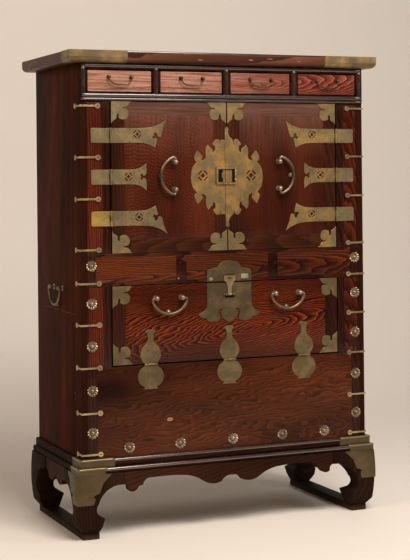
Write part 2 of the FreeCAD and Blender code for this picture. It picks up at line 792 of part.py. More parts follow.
def framed_leaf(x0, x1, z0, z1, end_border, level_border, thickness):
    """Two end members, two level members between them and a panel, flush at the face."""
    inner0 = x0 + end_border
    inner1 = x1 - end_border
    deep = front + thickness
    members = [box(x0, inner0, front, deep, z0, z1), box(inner1, x1, front, deep, z0, z1)]
    if level_border:
        members += [box(inner0, inner1, front, deep, z0, z0 + level_border),
                    box(inner0, inner1, front, deep, z1 - level_border, z1)]
    panel_depth = door_panel_thickness if level_border else thickness
    members.append(box(inner0, inner1, front + panel_recess, front + panel_depth,
                       z0 + level_border, z1 - level_border))
    return members


right_board = framed_leaf(door_seam, door_hinge_edge, door_low, door_high, door_border,
                          door_border, door_thickness)
straps = [door_leaf(z, *spot) for z, spot in zip(strap_heights, strap_lozenges)]
door_corners = [corner_plate(x, z, sign_x, sign_z)
                for x, sign_x in ((door_seam, 1), (door_hinge_edge, -1))
                for z, sign_z in ((door_low, 1), (door_high, -1))]
export("right_door_board", right_board)
export("left_door_board", [mirror_x(solid) for solid in right_board])
export("right_door_plates", straps + door_corners)
export("left_door_plates", [mirror_x(solid) for solid in straps + door_corners])

# Strips under the drawer frame and the middle rail, which the doors and the flap close against
stop_gap = 0.5
stop_wide = 12.0
stop_high = 12.0
stop_y = front + door_thickness + stop_gap
export("leaf_stops",
       [box(-opening_half, opening_half, stop_y, stop_y + stop_wide, z - stop_high, z)
        for z in (drawer_band_bottom, rail_bottom)])

# Round lock plate in two halves: shares of its half width and half height, tip to side
lock_half_width = 105.0
lock_half_height_share = 0.3423
lock_half_height = door_opening_height * lock_half_height_share
lock_height_share = 0.4954
lock_height = rail_top + door_opening_height * lock_height_share
lock_lap = 5.5
lock_seam = 0.8
lock_tip_share = 0.74
lock_lozenge_x = 70.0
lock_lozenge_lift = 4.0
lock_lozenge_size = 17.0
lock_shares = [(0.075, 0.94, 0.085, 0.885), (0.06, 0.85, 0.075, 0.80), (0.14, 0.74),
               (0.13, 0.69, 0.17, 0.65), (0.19, 0.70, 0.22, 0.733), (0.33, 0.74, 0.39, 0.62),
               (0.32, 0.60, 0.335, 0.545), (0.36, 0.495, 0.40, 0.50), (0.43, 0.55, 0.45, 0.60),
               (0.53, 0.64, 0.565, 0.57), (0.575, 0.45), (0.60, 0.34, 0.66, 0.335),
               (0.68, 0.36, 0.685, 0.395), (0.765, 0.53), (0.86, 0.48, 0.89, 0.34),
               (0.83, 0.32), (0.96, 0.18, 1.0, 0.0)]


def lock_disc():
    """The whole lock plate before it is cut into halves."""
    quarter = scaled(lock_shares, lock_half_width, lock_half_height)
    start = (0.0, lock_half_height)
    opposite = [tuple(-value for value in step) for step in quarter]
    path = (quarter + reflected(start, quarter, 1, -1) + opposite
            + reflected(start, quarter, -1, 1))
    return prism(start, path, FreeCAD.Vector(0, front, lock_height), AXIS_X, AXIS_Z,
                 -AXIS_Y * sheet)


disc = lock_disc()
pierced = lozenge(lock_lozenge_x, lock_height + lock_lozenge_lift, lock_lozenge_size)
disc = disc.cut(Part.makeCompound(both_sides(pierced)))
tall = lock_half_height + overrun
right_zone = box(-lock_lap, lock_half_width + overrun, front - overrun, front,
                 lock_height - tall, lock_height + tall)
left_zone = box(-lock_half_width - overrun, -lock_lap - lock_seam, front - overrun, front,
                lock_height - lock_half_height * lock_tip_share,
                lock_height + lock_half_height * lock_tip_share)

# Square ring on the right half, closing over a staple on the left half
ring_x = 23.0
ring_length = 56.0
ring_height = 45.0
ring_bar = 5.0
ring_thickness = 4.0
ring_reach = 4.6
ring_pivot = 2.0
ring_centre = lock_height + 3.5
eyelet_radius = 4.4
eyelet_spacing = 21.0
staple_x = -16.0
staple_width = 4.0
staple_height = 14.0
staple_reach = 6.9
staple_hole = 1.4


def eyelet(centre, radius, axis, bore):
    """A ball with a hole, sunk to its foot on the sheet."""
    ball = Part.makeSphere(radius, centre)
    foot = rod(FreeCAD.Vector(centre.x, front - sheet, centre.z), centre, radius / 2)
    hole = rod(centre - axis * (radius + overrun), centre + axis * (radius + overrun), bore)
    slab = box(centre.x - radius, centre.x + radius, front - sheet, front + radius + overrun,
               centre.z - radius, centre.z + radius)
    return fuse([ball, foot]).cut(slab).cut(hole)


ring_axis_y = front - ring_reach
eyelets = [eyelet(FreeCAD.Vector(ring_x, ring_axis_y, ring_centre + side * eyelet_spacing / 2),
                  eyelet_radius, AXIS_Z, ring_pivot + running_clearance) for side in (-1, 1)]
right_lock = fuse([disc.common(right_zone)] + eyelets)
staple = box(staple_x - staple_width / 2, staple_x + staple_width / 2, front - staple_reach,
             front - sheet, ring_centre - staple_height / 2, ring_centre + staple_height / 2)
staple_eye = rod(FreeCAD.Vector(staple_x - staple_width, front - (staple_reach + sheet) / 2,
                                ring_centre),
                 FreeCAD.Vector(staple_x + staple_width, front - (staple_reach + sheet) / 2,
                                ring_centre), staple_hole)
left_lock = fuse([disc.common(left_zone), staple.cut(staple_eye)])
export("right_lock_plate", [right_lock])
export("left_lock_plate", [left_lock])
ring_low = ring_centre - ring_height / 2
ring_high = ring_centre + ring_height / 2
ring_y0 = ring_axis_y - ring_thickness / 2
ring_y1 = ring_axis_y + ring_thickness / 2
ring_left = ring_x - ring_length
ring_bars = [box(ring_left, ring_left + ring_bar, ring_y0, ring_y1, ring_low, ring_high),
             box(ring_left, ring_x, ring_y0, ring_y1, ring_low, ring_low + ring_bar),
             box(ring_left, ring_x, ring_y0, ring_y1, ring_high - ring_bar, ring_high),
             rod(FreeCAD.Vector(ring_x, ring_axis_y, ring_low),
                 FreeCAD.Vector(ring_x, ring_axis_y, ring_high), ring_pivot)]
export("hasp_ring", [fuse(ring_bars)])

# Bails: bent bars in ball-headed posts, drawn with the pivot along X and hanging to -Z
bail_rod = 2.9
bail_corner = 6.0
bail_half_width = 48.5
bail_drop = 41.0
side_bail_drop = 46.0
post_half = 36.0
post_ball = 6.0
post_stem = 3.2
post_reach = 12.0
rosette_radius = 7.5
rosette_thickness = 1.2
bail_end_gap = 2.0
bumper_radius = 4.0
small_rod = 1.7
small_corner = 6.0
small_half_width = 26.0
small_drop = 19.0
small_post_half = 31.0
small_ball = 4.3
small_stem = 2.2
small_reach = 8.0
small_rosette = 5.0


def swept(edges, radius, start, heading):
    """A round bar along joined edges."""
    circle = Part.Wire(Part.Circle(start, heading, radius).toShape())
    return Part.Wire(edges).makePipeShell([circle], True, True)


def arc(centre, radius, from_angle, to_angle):
    """An arc in the plane of the bail, by its angles from +X."""
    points = []
    for share in (0.0, 0.5, 1.0):
        angle = from_angle + (to_angle - from_angle) * share
        points.append(FreeCAD.Vector(centre[0] + radius * math.cos(angle), 0,
                                     centre[1] + radius * math.sin(angle)))
    return Part.Arc(*points).toShape()


def round_bail(radius, half_width, corner, drop, end):
    """A C-shaped bail: its ends run in through the posts from outside."""
    deep = drop - corner
    side = half_width - corner
    big = (side ** 2 + deep ** 2 - corner ** 2) / (2 * (deep - corner))
    middle = big - drop
    turn = math.atan2(-corner - middle, -side)
    left_corner = (-side, -corner)
    line = Part.LineSegment(FreeCAD.Vector(-end, 0, 0), FreeCAD.Vector(-side, 0, 0)).toShape()
    full = 2 * math.pi
    first = arc(left_corner, corner, math.pi / 2, turn + full)
    bottom = arc((0.0, middle), big, turn + full, math.pi - turn)
    last = arc((side, -corner), corner, math.pi - turn, math.pi / 2 + full)
    line_back = Part.LineSegment(FreeCAD.Vector(side, 0, 0), FreeCAD.Vector(end, 0, 0)).toShape()
    return swept([line, first, bottom, last, line_back], radius, FreeCAD.Vector(-end, 0, 0),
                 -AXIS_X)


def saddle_bail(radius, half_width, corner, drop, end):
    """A small bail whose ends turn outward into their posts."""
    deep = drop - corner
    big = (half_width ** 2 + deep ** 2 - corner ** 2) / (2 * drop)
    middle = big - drop
    rise = math.atan2(middle + corner, half_width)
    line = Part.LineSegment(FreeCAD.Vector(-end, 0, 0),
                            FreeCAD.Vector(-half_width, 0, 0)).toShape()
    first = arc((-half_width, -corner), corner, math.pi / 2, rise)
    bottom = arc((0.0, middle), big, math.pi + rise, 2 * math.pi - rise)
    last = arc((half_width, -corner), corner, math.pi - rise, math.pi / 2)
    line_back = Part.LineSegment(FreeCAD.Vector(half_width, 0, 0),
                                 FreeCAD.Vector(end, 0, 0)).toShape()
    return swept([line, first, bottom, last, line_back], radius, FreeCAD.Vector(-end, 0, 0),
                 AXIS_X)


def post_pair(spacing_half, ball, stem, reach, rosette, bore):
    """Two ball-headed posts standing on the wood at y = 0, bored along X for the bail."""
    posts = []
    for side in (-1, 1):
        foot = FreeCAD.Vector(side * spacing_half, 0, 0)
        head = foot - AXIS_Y * reach
        body = fuse([Part.makeCylinder(rosette, rosette_thickness, foot, -AXIS_Y),
                     Part.makeCylinder(stem, reach, foot, -AXIS_Y),
                     Part.makeSphere(ball, head)])
        hole = rod(head - AXIS_X * (ball + overrun), head + AXIS_X * (ball + overrun), bore)
        posts.append(body.cut(hole))
    return posts


def bumper(drop):
    """A stud under the bail's middle that keeps it off the wood."""
    length = post_reach - bail_rod - joint_gap
    return Part.makeCylinder(bumper_radius, length, FreeCAD.Vector(0, 0, -drop), -AXIS_Y)


def placed(shape, x, y, z, axis, degrees):
    """A copy turned about an axis through the origin and then moved."""
    copy = shape.copy()
    move = FreeCAD.Placement(FreeCAD.Vector(x, y, z), FreeCAD.Rotation(axis, degrees))
    copy.Placement = move.multiply(shape.Placement)
    return copy


post_end = post_half - post_ball - bail_end_gap
large_bail = round_bail(bail_rod, bail_half_width, bail_corner, bail_drop, post_end)
large_bail = placed(large_bail, 0, -post_reach, 0, AXIS_Z, 0)
large_posts = post_pair(post_half, post_ball, post_stem, post_reach, rosette_radius,
                        bail_rod + running_clearance) + [bumper(bail_drop)]
door_bail_share = 0.4654
door_bail_height_share = 0.5069
door_bail_x = door_hinge_edge * door_bail_share
door_bail_z = rail_top + door_opening_height * door_bail_height_share
export("right_door_bail", [placed(large_bail, door_bail_x, front, door_bail_z, AXIS_Y, -90)])
export("left_door_bail", [placed(large_bail, -door_bail_x, front, door_bail_z, AXIS_Y, 90)])
export("right_door_posts", [placed(solid, door_bail_x, front, door_bail_z, AXIS_Y, -90)
                            for solid in large_posts])
export("left_door_posts", [placed(solid, -door_bail_x, front, door_bail_z, AXIS_Y, 90)
                           for solid in large_posts])

# Side bails on the side boards
side_bail_depth_share = 0.5007
side_bail_height_share = 0.435
side_bail_y = front + case_depth * side_bail_depth_share
side_bail_z = case_foot + case_height * side_bail_height_share
side_bail = placed(round_bail(bail_rod, bail_half_width, bail_corner, side_bail_drop, post_end),
                   0, -post_reach, 0, AXIS_Z, 0)
side_posts = post_pair(post_half, post_ball, post_stem, post_reach, rosette_radius,
                       bail_rod + running_clearance) + [bumper(side_bail_drop)]
export("side_bail_right", [placed(side_bail, half, side_bail_y, side_bail_z, AXIS_Z, 90)])
export("side_bail_left", [placed(side_bail, -half, side_bail_y, side_bail_z, AXIS_Z, -90)])
export("side_bail_posts",
       [placed(solid, half, side_bail_y, side_bail_z, AXIS_Z, 90) for solid in side_posts]
       + [placed(solid, -half, side_bail_y, side_bail_z, AXIS_Z, -90) for solid in side_posts])

# Drawer bails
drawer_bail_share = 0.6694
drawer_bail_z = band_sill + drawer_opening_height * drawer_bail_share
small_end = small_post_half + small_ball + bail_end_gap
small_bail = placed(saddle_bail(small_rod, small_half_width, small_corner, small_drop,
                                small_end), 0, -small_reach, 0, AXIS_Z, 0)
small_posts = post_pair(small_post_half, small_ball, small_stem, small_reach, small_rosette,
                        small_rod + running_clearance)
for name, centre in zip(drawer_names, drawer_centres):
    export(name + "_bail", [placed(small_bail, centre, drawer_face, drawer_bail_z, AXIS_Y, 0)])
    export(name + "_posts", [placed(solid, centre, drawer_face, drawer_bail_z, AXIS_Y, 0)
                             for solid in small_posts])

# Drop flap: a figured panel with dark end members, hinged along its lower edge
flap_end_gap = 3.0
flap_half = opening_half - flap_end_gap
flap_border = 36.0
flap_thickness = 20.0
flap_low = flap_axis_height + door_hinge_clear
flap_board = framed_leaf(-flap_half, flap_half, flap_low, flap_top, flap_border, 0,
                         flap_thickness)
export("flap_board", flap_board)

# Gourd hinges: a vase leaf on the flap over a round leaf on the panel below
gourd_spacing_share = 0.6825
gourd_offset = 1.5
gourd_centres = (-flap_half * gourd_spacing_share, gourd_offset,
                 flap_half * gourd_spacing_share)
gourd_half_width = 28.5
gourd_height_share = 0.439
gourd_high = flap_height * gourd_height_share
gourd_knuckle = 36.0
disc_radius = 35.5
disc_drop = 64.0
gourd_share_start = (0.60, 0.05)
gourd_shares = [(0.93, 0.12, 1.0, 0.27), (0.86, 0.52, 0.40, 0.69), (0.25, 0.77, 0.34, 0.88),
                (0.62, 0.965), (0.30, 1.0, 0.0, 0.985)]
disc_share_start = (0.48, 0.07)
disc_shares = [(1.0, 0.42, 0.45, 0.917), (0.57, 1.0)]


def gourd_leaf(x, up, keep, start_share, shares, width, height):
    """One leaf of a gourd hinge with its share of the knuckles."""
    start = (start_share[0] * width, start_share[1] * height)
    steps = scaled(shares, width, height)
    end = steps[-1][-2:]
    path = list(steps)
    if end[0] > 0:
        path.append((-end[0], end[1]))
    path += reflected(start, steps, -1, 1)
    place = FreeCAD.Vector(x, front, flap_axis_height)
    leaf = prism(start, path, place, AXIS_X, up, -AXIS_Y * sheet)
    solids = [leaf]
    bores = []
    for barrel, bore, low, high in knuckles(x, flap_axis_height, gourd_knuckle, keep, AXIS_X):
        edge = flap_axis_height + up.z * (strap_start + sheet)
        solids += [box(x + low, x + high, front - sheet, front, flap_axis_height, edge), barrel]
        bores.append(bore)
    joined = fuse(solids)
    for bore in bores:
        joined = joined.cut(bore)
    return joined


upper_leaves = [gourd_leaf(x, AXIS_Z, leaf_knuckles, gourd_share_start, gourd_shares,
                           gourd_half_width, gourd_high) for x in gourd_centres]
lower_leaves = [gourd_leaf(x, -AXIS_Z, frame_knuckles, disc_share_start, disc_shares,
                           disc_radius, disc_drop) for x in gourd_centres]
flap_corners = [corner_plate(sign_x * -flap_half, z, sign_x, sign_z)
                for sign_x in (-1, 1) for z, sign_z in ((flap_low, 1), (flap_top, -1))]
export("flap_plates", upper_leaves + flap_corners)
export("gourd_lower_leaves", lower_leaves)
flap_pins = [rod(FreeCAD.Vector(x - gourd_knuckle / 2, door_axis_y, flap_axis_height),
                 FreeCAD.Vector(x + gourd_knuckle / 2, door_axis_y, flap_axis_height),
                 pin_radius) for x in gourd_centres]
export("hinge_pins", both_sides([strap_pin(z) for z in strap_heights]) + flap_pins)

# Flap lock: a domed plate on the rail, a flared plate on the flap and a hasp between
flap_lock_x = 3.0
flap_lock_half = 64.5
rail_plate_share = 0.6695
rail_plate_high = rail_height * rail_plate_share
flap_plate_share = 0.5073
flap_plate_high = flap_height * flap_plate_share
flap_plate_drop = 2.0
rail_plate_shares = [(1.0, 0.48), (0.80, 0.66, 0.50, 0.71), (0.34, 0.93, 0.0, 1.0)]
flap_plate_shares = [(1.0, -0.48), (1.08, -0.66, 1.40, -0.78), (1.28, -0.87),
                     (1.20, -0.90, 1.12, -0.85), (1.06, -0.92, 0.98, -0.95),
                     (0.78, -1.0, 0.55, -0.96), (0.43, -0.85, 0.50, -0.72),
                     (0.44, -0.66, 0.35, -0.70), (0.40, -0.90, 0.0, -1.0)]
hasp_half = 16.0
hasp_high = 50.0
hasp_shares = [(0.35, 0.25), (0.44, 0.50, 0.95, 0.72), (1.0, 0.80), (1.0, 1.0)]
hasp_thickness = 2.0
hasp_pivot_drop = 32.0
hasp_pivot_z = flap_top - hasp_pivot_drop
hasp_reach = 4.7
hasp_gap = 0.6
hasp_barrel_half = 5.4
hasp_eye_half = 10.6
hasp_eye = 4.4
hasp_pin_half = 16.0
hasp_ball = 2.8
nub_half = 4.0
nub_high = 2.8
nub_reach = 6.5
nub_rise = 8.8
nub_height = rail_bottom + nub_rise


def symmetric_plate(start, shares, width, height, z):
    """A flat brass plate symmetric about the lock's middle line."""
    steps = scaled(shares, width, height)
    path = steps + reflected(start, steps, -1, 1)
    return prism(start, path, FreeCAD.Vector(flap_lock_x, front, z), AXIS_X, AXIS_Z,
                 -AXIS_Y * sheet)


rail_plate = symmetric_plate((flap_lock_half, 0.0), rail_plate_shares, flap_lock_half,
                             rail_plate_high, rail_bottom + joint_gap)
nub = box(flap_lock_x - nub_half, flap_lock_x + nub_half, front - nub_reach, front - sheet,
          nub_height - nub_high / 2, nub_height + nub_high / 2)
export("rail_lock_plate", [fuse([rail_plate, nub])])
flap_plate = symmetric_plate((flap_lock_half, 0.0), flap_plate_shares, flap_lock_half,
                             flap_plate_high, flap_top - flap_plate_drop)
hasp_axis_y = front - hasp_reach
hasp_line = FreeCAD.Vector(flap_lock_x, hasp_axis_y, hasp_pivot_z)
hasp_eyes = [eyelet(hasp_line + AXIS_X * side * hasp_eye_half, hasp_eye, AXIS_X, pin_radius)
             for side in (-1, 1)]
hasp_pin = rod(hasp_line - AXIS_X * hasp_pin_half, hasp_line + AXIS_X * hasp_pin_half,
               pin_radius)
pin_balls = [Part.makeSphere(hasp_ball, hasp_line + AXIS_X * side * hasp_pin_half)
             for side in (-1, 1)]
export("flap_lock_plate", [fuse([flap_plate] + hasp_eyes + [hasp_pin] + pin_balls)])
hasp_steps = scaled(hasp_shares, hasp_half, hasp_high)
hasp_start = (hasp_half * hasp_shares[0][0], 0.0)
hasp_path = hasp_steps + [(-hasp_half, hasp_high)] + reflected(hasp_start, hasp_steps, -1, 1)
hasp_front = FreeCAD.Vector(flap_lock_x, front - sheet - hasp_gap, hasp_pivot_z)
hasp_leaf = prism(hasp_start, hasp_path, hasp_front, AXIS_X, AXIS_Z,
                  -AXIS_Y * hasp_thickness)
hasp_barrel = rod(hasp_line - AXIS_X * hasp_barrel_half, hasp_line + AXIS_X * hasp_barrel_half,
                  knuckle_radius)
hasp_bore = rod(hasp_line - AXIS_X * hasp_half, hasp_line + AXIS_X * hasp_half,
                pin_radius + running_clearance)
hasp_slot = box(flap_lock_x - nub_half - hasp_gap, flap_lock_x + nub_half + hasp_gap,
                front - nub_reach, front, nub_height - nub_high / 2 - hasp_gap,
                nub_height + nub_high / 2 + hasp_gap)
export("flap_hasp", [fuse([hasp_leaf, hasp_barrel]).cut(hasp_bore).cut(hasp_slot)])

# Flap bails
flap_bail_share = 0.5261
flap_bail_drop = 35.0
flap_bail_x = flap_half * flap_bail_share
flap_bail_z = flap_top - flap_bail_drop
export("flap_bail_right", [placed(large_bail, flap_bail_x, front, flap_bail_z, AXIS_Y, 0)])
export("flap_bail_left", [placed(large_bail, -flap_bail_x, front, flap_bail_z, AXIS_Y, 0)])
export("flap_bail_posts", [placed(solid, side * flap_bail_x, front, flap_bail_z, AXIS_Y, 0)
                           for side in (-1, 1) for solid in large_posts])
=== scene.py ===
"""Looks of the two tier chest: lacquered elm boards and aged brass fittings, made round the
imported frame. Metres, +Z up, the front faces -Y."""
import math

import bpy
import numpy as np
from mathutils import Matrix, Vector
from mathutils.geometry import tessellate_polygon


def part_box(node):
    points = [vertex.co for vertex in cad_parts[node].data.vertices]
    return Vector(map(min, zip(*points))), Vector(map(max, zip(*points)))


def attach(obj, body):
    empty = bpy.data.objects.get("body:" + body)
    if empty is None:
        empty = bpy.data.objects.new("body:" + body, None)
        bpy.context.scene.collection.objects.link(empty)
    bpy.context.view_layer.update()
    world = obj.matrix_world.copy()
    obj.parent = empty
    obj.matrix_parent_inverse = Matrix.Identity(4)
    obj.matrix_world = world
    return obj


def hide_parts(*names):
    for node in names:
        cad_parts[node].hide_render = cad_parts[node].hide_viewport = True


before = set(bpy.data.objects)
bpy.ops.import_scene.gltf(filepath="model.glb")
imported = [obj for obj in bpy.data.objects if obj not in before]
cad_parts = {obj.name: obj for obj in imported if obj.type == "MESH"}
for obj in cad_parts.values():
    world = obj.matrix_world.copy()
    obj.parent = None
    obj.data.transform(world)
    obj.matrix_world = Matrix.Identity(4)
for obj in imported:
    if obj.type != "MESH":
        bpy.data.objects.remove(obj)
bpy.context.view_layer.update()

# Studio: a pale floor that turns up into a pale wall, see-through from behind. A strong soft
# lamp stands high over the front, with weaker ones before it and at both sides.


def linear(code):
    """A colour written as six hex digits, as the linear values that a shader takes."""
    parts = np.array([int(code[i:i + 2], 16) for i in (0, 2, 4)]) / 255
    curve = np.where(parts <= 0.04045, parts / 12.92, ((parts + 0.055) / 1.055) ** 2.4)
    return (*[float(value) for value in curve], 1.0)


def grid_faces(rows, columns, close_rows=False, close_columns=False):
    """Quads between neighbouring points of a grid, wrapped round where a side is closed."""
    i, j = np.meshgrid(np.arange(rows - (not close_rows)),
                       np.arange(columns - (not close_columns)), indexing="ij")
    down, right = (i + 1) % rows, (j + 1) % columns
    corners = (i * columns + j, i * columns + right, down * columns + right, down * columns + j)
    return np.stack(corners, axis=-1).reshape(-1, 4)


def outward(points, faces):
    """A closed shape with its faces turned outwards: where the sum of its corners' triple
    products is negative, every face is reversed."""
    fans = np.array([(face[0], face[i], face[i + 1]) for face in faces
                     for i in range(1, len(face) - 1)])
    first, second, third = (points[fans[:, column]] for column in range(3))
    volume = np.einsum("ij,ij->", first, np.cross(second, third))
    return points, [face[::-1] for face in faces] if volume < 0 else faces


def new_object(name, points, faces, material):
    """A smooth-shaded mesh object from points and faces."""
    mesh = bpy.data.meshes.new(name)
    mesh.from_pydata(np.asarray(points).tolist(), [], [list(map(int, f)) for f in faces])
    mesh.validate()
    mesh.shade_smooth()
    mesh.set_sharp_from_angle(angle=math.radians(38))
    mesh.materials.append(material)
    thing = bpy.data.objects.new(name, mesh)
    bpy.context.collection.objects.link(thing)
    return thing


floor_paint = bpy.data.materials.new("floor_paint")
floor_paint.use_nodes = True
floor_shader = floor_paint.node_tree.nodes["Principled BSDF"]
floor_shader.inputs["Base Color"].default_value = linear("ebe5de")
floor_shader.inputs["Roughness"].default_value = 0.7
floor_nodes, floor_links = floor_paint.node_tree.nodes, floor_paint.node_tree.links
behind = floor_nodes.new("ShaderNodeNewGeometry").outputs["Backfacing"]
see_through = floor_nodes.new("ShaderNodeMixShader")
floor_links.new(behind, see_through.inputs[0])
floor_links.new(floor_shader.outputs[0], see_through.inputs[1])
floor_links.new(floor_nodes.new("ShaderNodeBsdfTransparent").outputs[0], see_through.inputs[2])
floor_links.new(see_through.outputs[0], floor_nodes["Material Output"].inputs[0])
sweep_side = np.array([-6.0, 6.0])
sweep_turn = np.radians(np.linspace(0, 90, 13))
sweep_y = np.concatenate([[-6.5, 0.6], 1.2 + np.sin(sweep_turn), [2.2]])
sweep_z = np.concatenate([[0, 0], 1 - np.cos(sweep_turn), [5.0]])
sweep = np.stack([np.repeat(sweep_side[None], len(sweep_y), 0),
                  np.repeat(sweep_y[:, None], 2, 1), np.repeat(sweep_z[:, None], 2, 1)], -1)
floor = new_object("studio_floor", sweep.reshape(-1, 3), grid_faces(len(sweep_y), 2),
                   floor_paint)

world = bpy.data.worlds.new("studio_air")
world.use_nodes = True
world.node_tree.nodes["Background"].inputs["Color"].default_value = linear("cfccc8")
world.node_tree.nodes["Background"].inputs["Strength"].default_value = 0.15
bpy.context.scene.world = world

lamps = (("front_lamp", (0.45, -3.0, 2.9), (0.0, 0.0, 0.75), (1.7, 1.3), 36.0, "fff1e2"),
         ("top_lamp", (0.2, -2.0, 3.1), (0.0, -0.2, 0.5), (1.5, 1.2), 92.0, "fff4e8"),
         ("right_lamp", (2.7, -2.0, 2.5), (0.0, 0.0, 0.6), (0.9, 1.6), 27.0, "fff6ee"),
         ("left_lamp", (-2.8, -1.5, 2.9), (0.0, 0.0, 0.7), (1.4, 1.2), 36.0, "ffe2c8"))
for name, place, target, size, power, colour in lamps:
    light = bpy.data.lights.new(name, "AREA")
    light.shape = "RECTANGLE"
    light.size, light.size_y = size
    light.energy = power
    light.color = linear(colour)[:3]
    lamp = bpy.data.objects.new(name, light)
    lamp.location = place
    lamp.rotation_euler = (Vector(target) - Vector(place)).to_track_quat("-Z", "Y").to_euler()
    bpy.context.collection.objects.link(lamp)

# Camera: the place, turn and lens that a fit to the photograph's straight edges gave. It looks
# almost level, and its picture is shifted instead, so upright edges stay nearly upright.
camera_place = Vector((-1.59904, -3.74893, 0.91838))
yaw, pitch, roll = (math.radians(angle) for angle in (-23.324, 0.258, -0.572))
ahead = Vector((-math.sin(yaw) * math.cos(pitch), math.cos(yaw) * math.cos(pitch),
                math.sin(pitch)))
level = Vector((math.cos(yaw), math.sin(yaw), 0))
over = level.cross(ahead)
right = level * math.cos(roll) + over * math.sin(roll)
over = over * math.cos(roll) - level * math.sin(roll)
camera_data = bpy.data.cameras.new("camera")
camera_data.sensor_fit = "VERTICAL"
camera_data.sensor_height = 36.0
camera_data.lens = 94.46
camera_data.shift_y = -0.193
camera = bpy.data.objects.new("camera", camera_data)
camera.matrix_world = Matrix.Translation(camera_place) @ Matrix(
    (right, over, -ahead)).transposed().to_4x4()
bpy.context.collection.objects.link(camera)
bpy.context.scene.camera = camera
bpy.context.scene.view_settings.view_transform = "Standard"


# Case: two plain elm side boards, a softwood back, bottom, shelf and deck. The outside is
# oiled dark brown, and the inside is left plain.


def section_path(wide, high, rounding, count=4):
    """A rounded rectangle round the origin: quarter circles of count steps at the corners."""
    rounding = min(rounding, wide / 2.01, high / 2.01)
    turn = np.linspace(0, np.pi / 2, count + 1)
    angle = np.concatenate([turn + quarter * np.pi / 2 for quarter in range(4)])
    across = np.repeat(np.array([1, -1, -1, 1]), count + 1) * (wide / 2 - rounding)
    up = np.repeat(np.array([1, 1, -1, -1]), count + 1) * (high / 2 - rounding)
    return across + rounding * np.cos(angle), up + rounding * np.sin(angle)


def capped(points):
    """A closed shape from a grid of rings, with a flat end over the first and the last."""
    rows, columns = points.shape[:2]
    faces = grid_faces(rows, columns, close_columns=True).tolist()
    faces += [list(range(columns))[::-1], list(range((rows - 1) * columns, rows * columns))]
    return outward(points.reshape(-1, 3), faces)


def plank(low, high, along, rounding=0.0008, wear=0.00012, seed=0):
    """A board between two corners: a rounded rectangle carried along the grain axis, drawn in
    at both ends by a quarter circle and ruffled there by a slow sine, its ends closed flat."""
    low, high = np.array(low, float), np.array(high, float)
    axis = "XYZ".index(along)
    u, v = (axis + 1) % 3, (axis + 2) % 3
    size = high - low
    across, up = section_path(size[u], size[v], rounding)
    turn = np.linspace(0, np.pi / 2, 4)
    stations = max(2, int(size[axis] / 0.03))
    inset = rounding * np.concatenate([1 - np.sin(turn), np.zeros(stations), 1 - np.cos(turn)])
    place = np.concatenate([rounding * (1 - np.cos(turn)),
                            np.linspace(rounding, size[axis] - rounding, stations + 2)[1:-1],
                            size[axis] - rounding + rounding * np.sin(turn)])
    ruffle = wear * np.sin(place * 37 + seed * 1.7) * np.sin(place * 91 + seed)
    inset = inset + np.abs(ruffle)
    shrink_u = 1 - 2 * inset[:, None] / size[u]
    shrink_v = 1 - 2 * inset[:, None] / size[v]
    points = np.zeros((len(place), len(across), 3))
    points[..., axis] = low[axis] + place[:, None]
    points[..., u] = (low[u] + high[u]) / 2 + across * shrink_u
    points[..., v] = (low[v] + high[v]) / 2 + up * shrink_v
    return capped(points)


def side_plank(side, inner, outer, depths, heights, along, *rest, **named):
    """A plank on one side of the middle, between two distances from it, depths and heights."""
    x0, x1 = sorted((side * inner, side * outer))
    return plank((x0, depths[0], heights[0]), (x1, depths[1], heights[1]), along, *rest,
                 **named)


def joined(parts):
    """Several shapes, each points and faces, as one."""
    points, faces, count = [], [], 0
    for part_points, part_faces in parts:
        points.append(part_points)
        faces += [[int(index) + count for index in face] for face in part_faces]
        count += len(part_points)
    return np.concatenate(points), faces


def add(nodes, kind, **values):
    """A shader node with its properties set."""
    made = nodes.new("ShaderNode" + kind)
    for key, value in values.items():
        if key in made.inputs:
            made.inputs[key].default_value = value
        else:
            setattr(made, key.lower(), value)
    return made


def ramp(nodes, stops):
    """A colour ramp through (place, hex colour) stops."""
    made = nodes.new("ShaderNodeValToRGB")
    band = made.color_ramp
    while len(band.elements) < len(stops):
        band.elements.new(0.5)
    for element, (place, colour) in zip(band.elements, stops):
        element.position = place
        element.color = linear(colour)
    return made


def mixed(nodes, links, first, second, factor, blend="MIX"):
    """The colour of a mix node between two sockets or hex colours."""
    made = nodes.new("ShaderNodeMix")
    made.data_type = "RGBA"
    made.blend_type = blend
    for place, value in ((6, first), (7, second)):
        if isinstance(value, str):
            made.inputs[place].default_value = linear(value)
        else:
            links.new(value, made.inputs[place])
    if isinstance(factor, float):
        made.inputs[0].default_value = factor
    else:
        links.new(factor, made.inputs[0])
    return made.outputs[2]


def ranged(nodes, links, source, low, high, to_low=0.0, to_high=1.0):
    """A value moved from one range to another."""
    made = nodes.new("ShaderNodeMapRange")
    for place, value in enumerate((low, high, to_low, to_high), 1):
        made.inputs[place].default_value = value
    links.new(source, made.inputs[0])
    return made.outputs[0]


wave_pitch = 0.314      # the spacing of a wave texture's rings at a scale of 1: 2 pi / 20


def drawn_out(nodes, links, where, axis, share):
    """A place scaled along one axis, so that noise read there is drawn out along the grain."""
    scale = [1.0, 1.0, 1.0]
    scale[axis] = share
    mapping = add(nodes, "Mapping", Scale=tuple(scale))
    links.new(where, mapping.inputs["Vector"])
    return mapping.outputs[0]


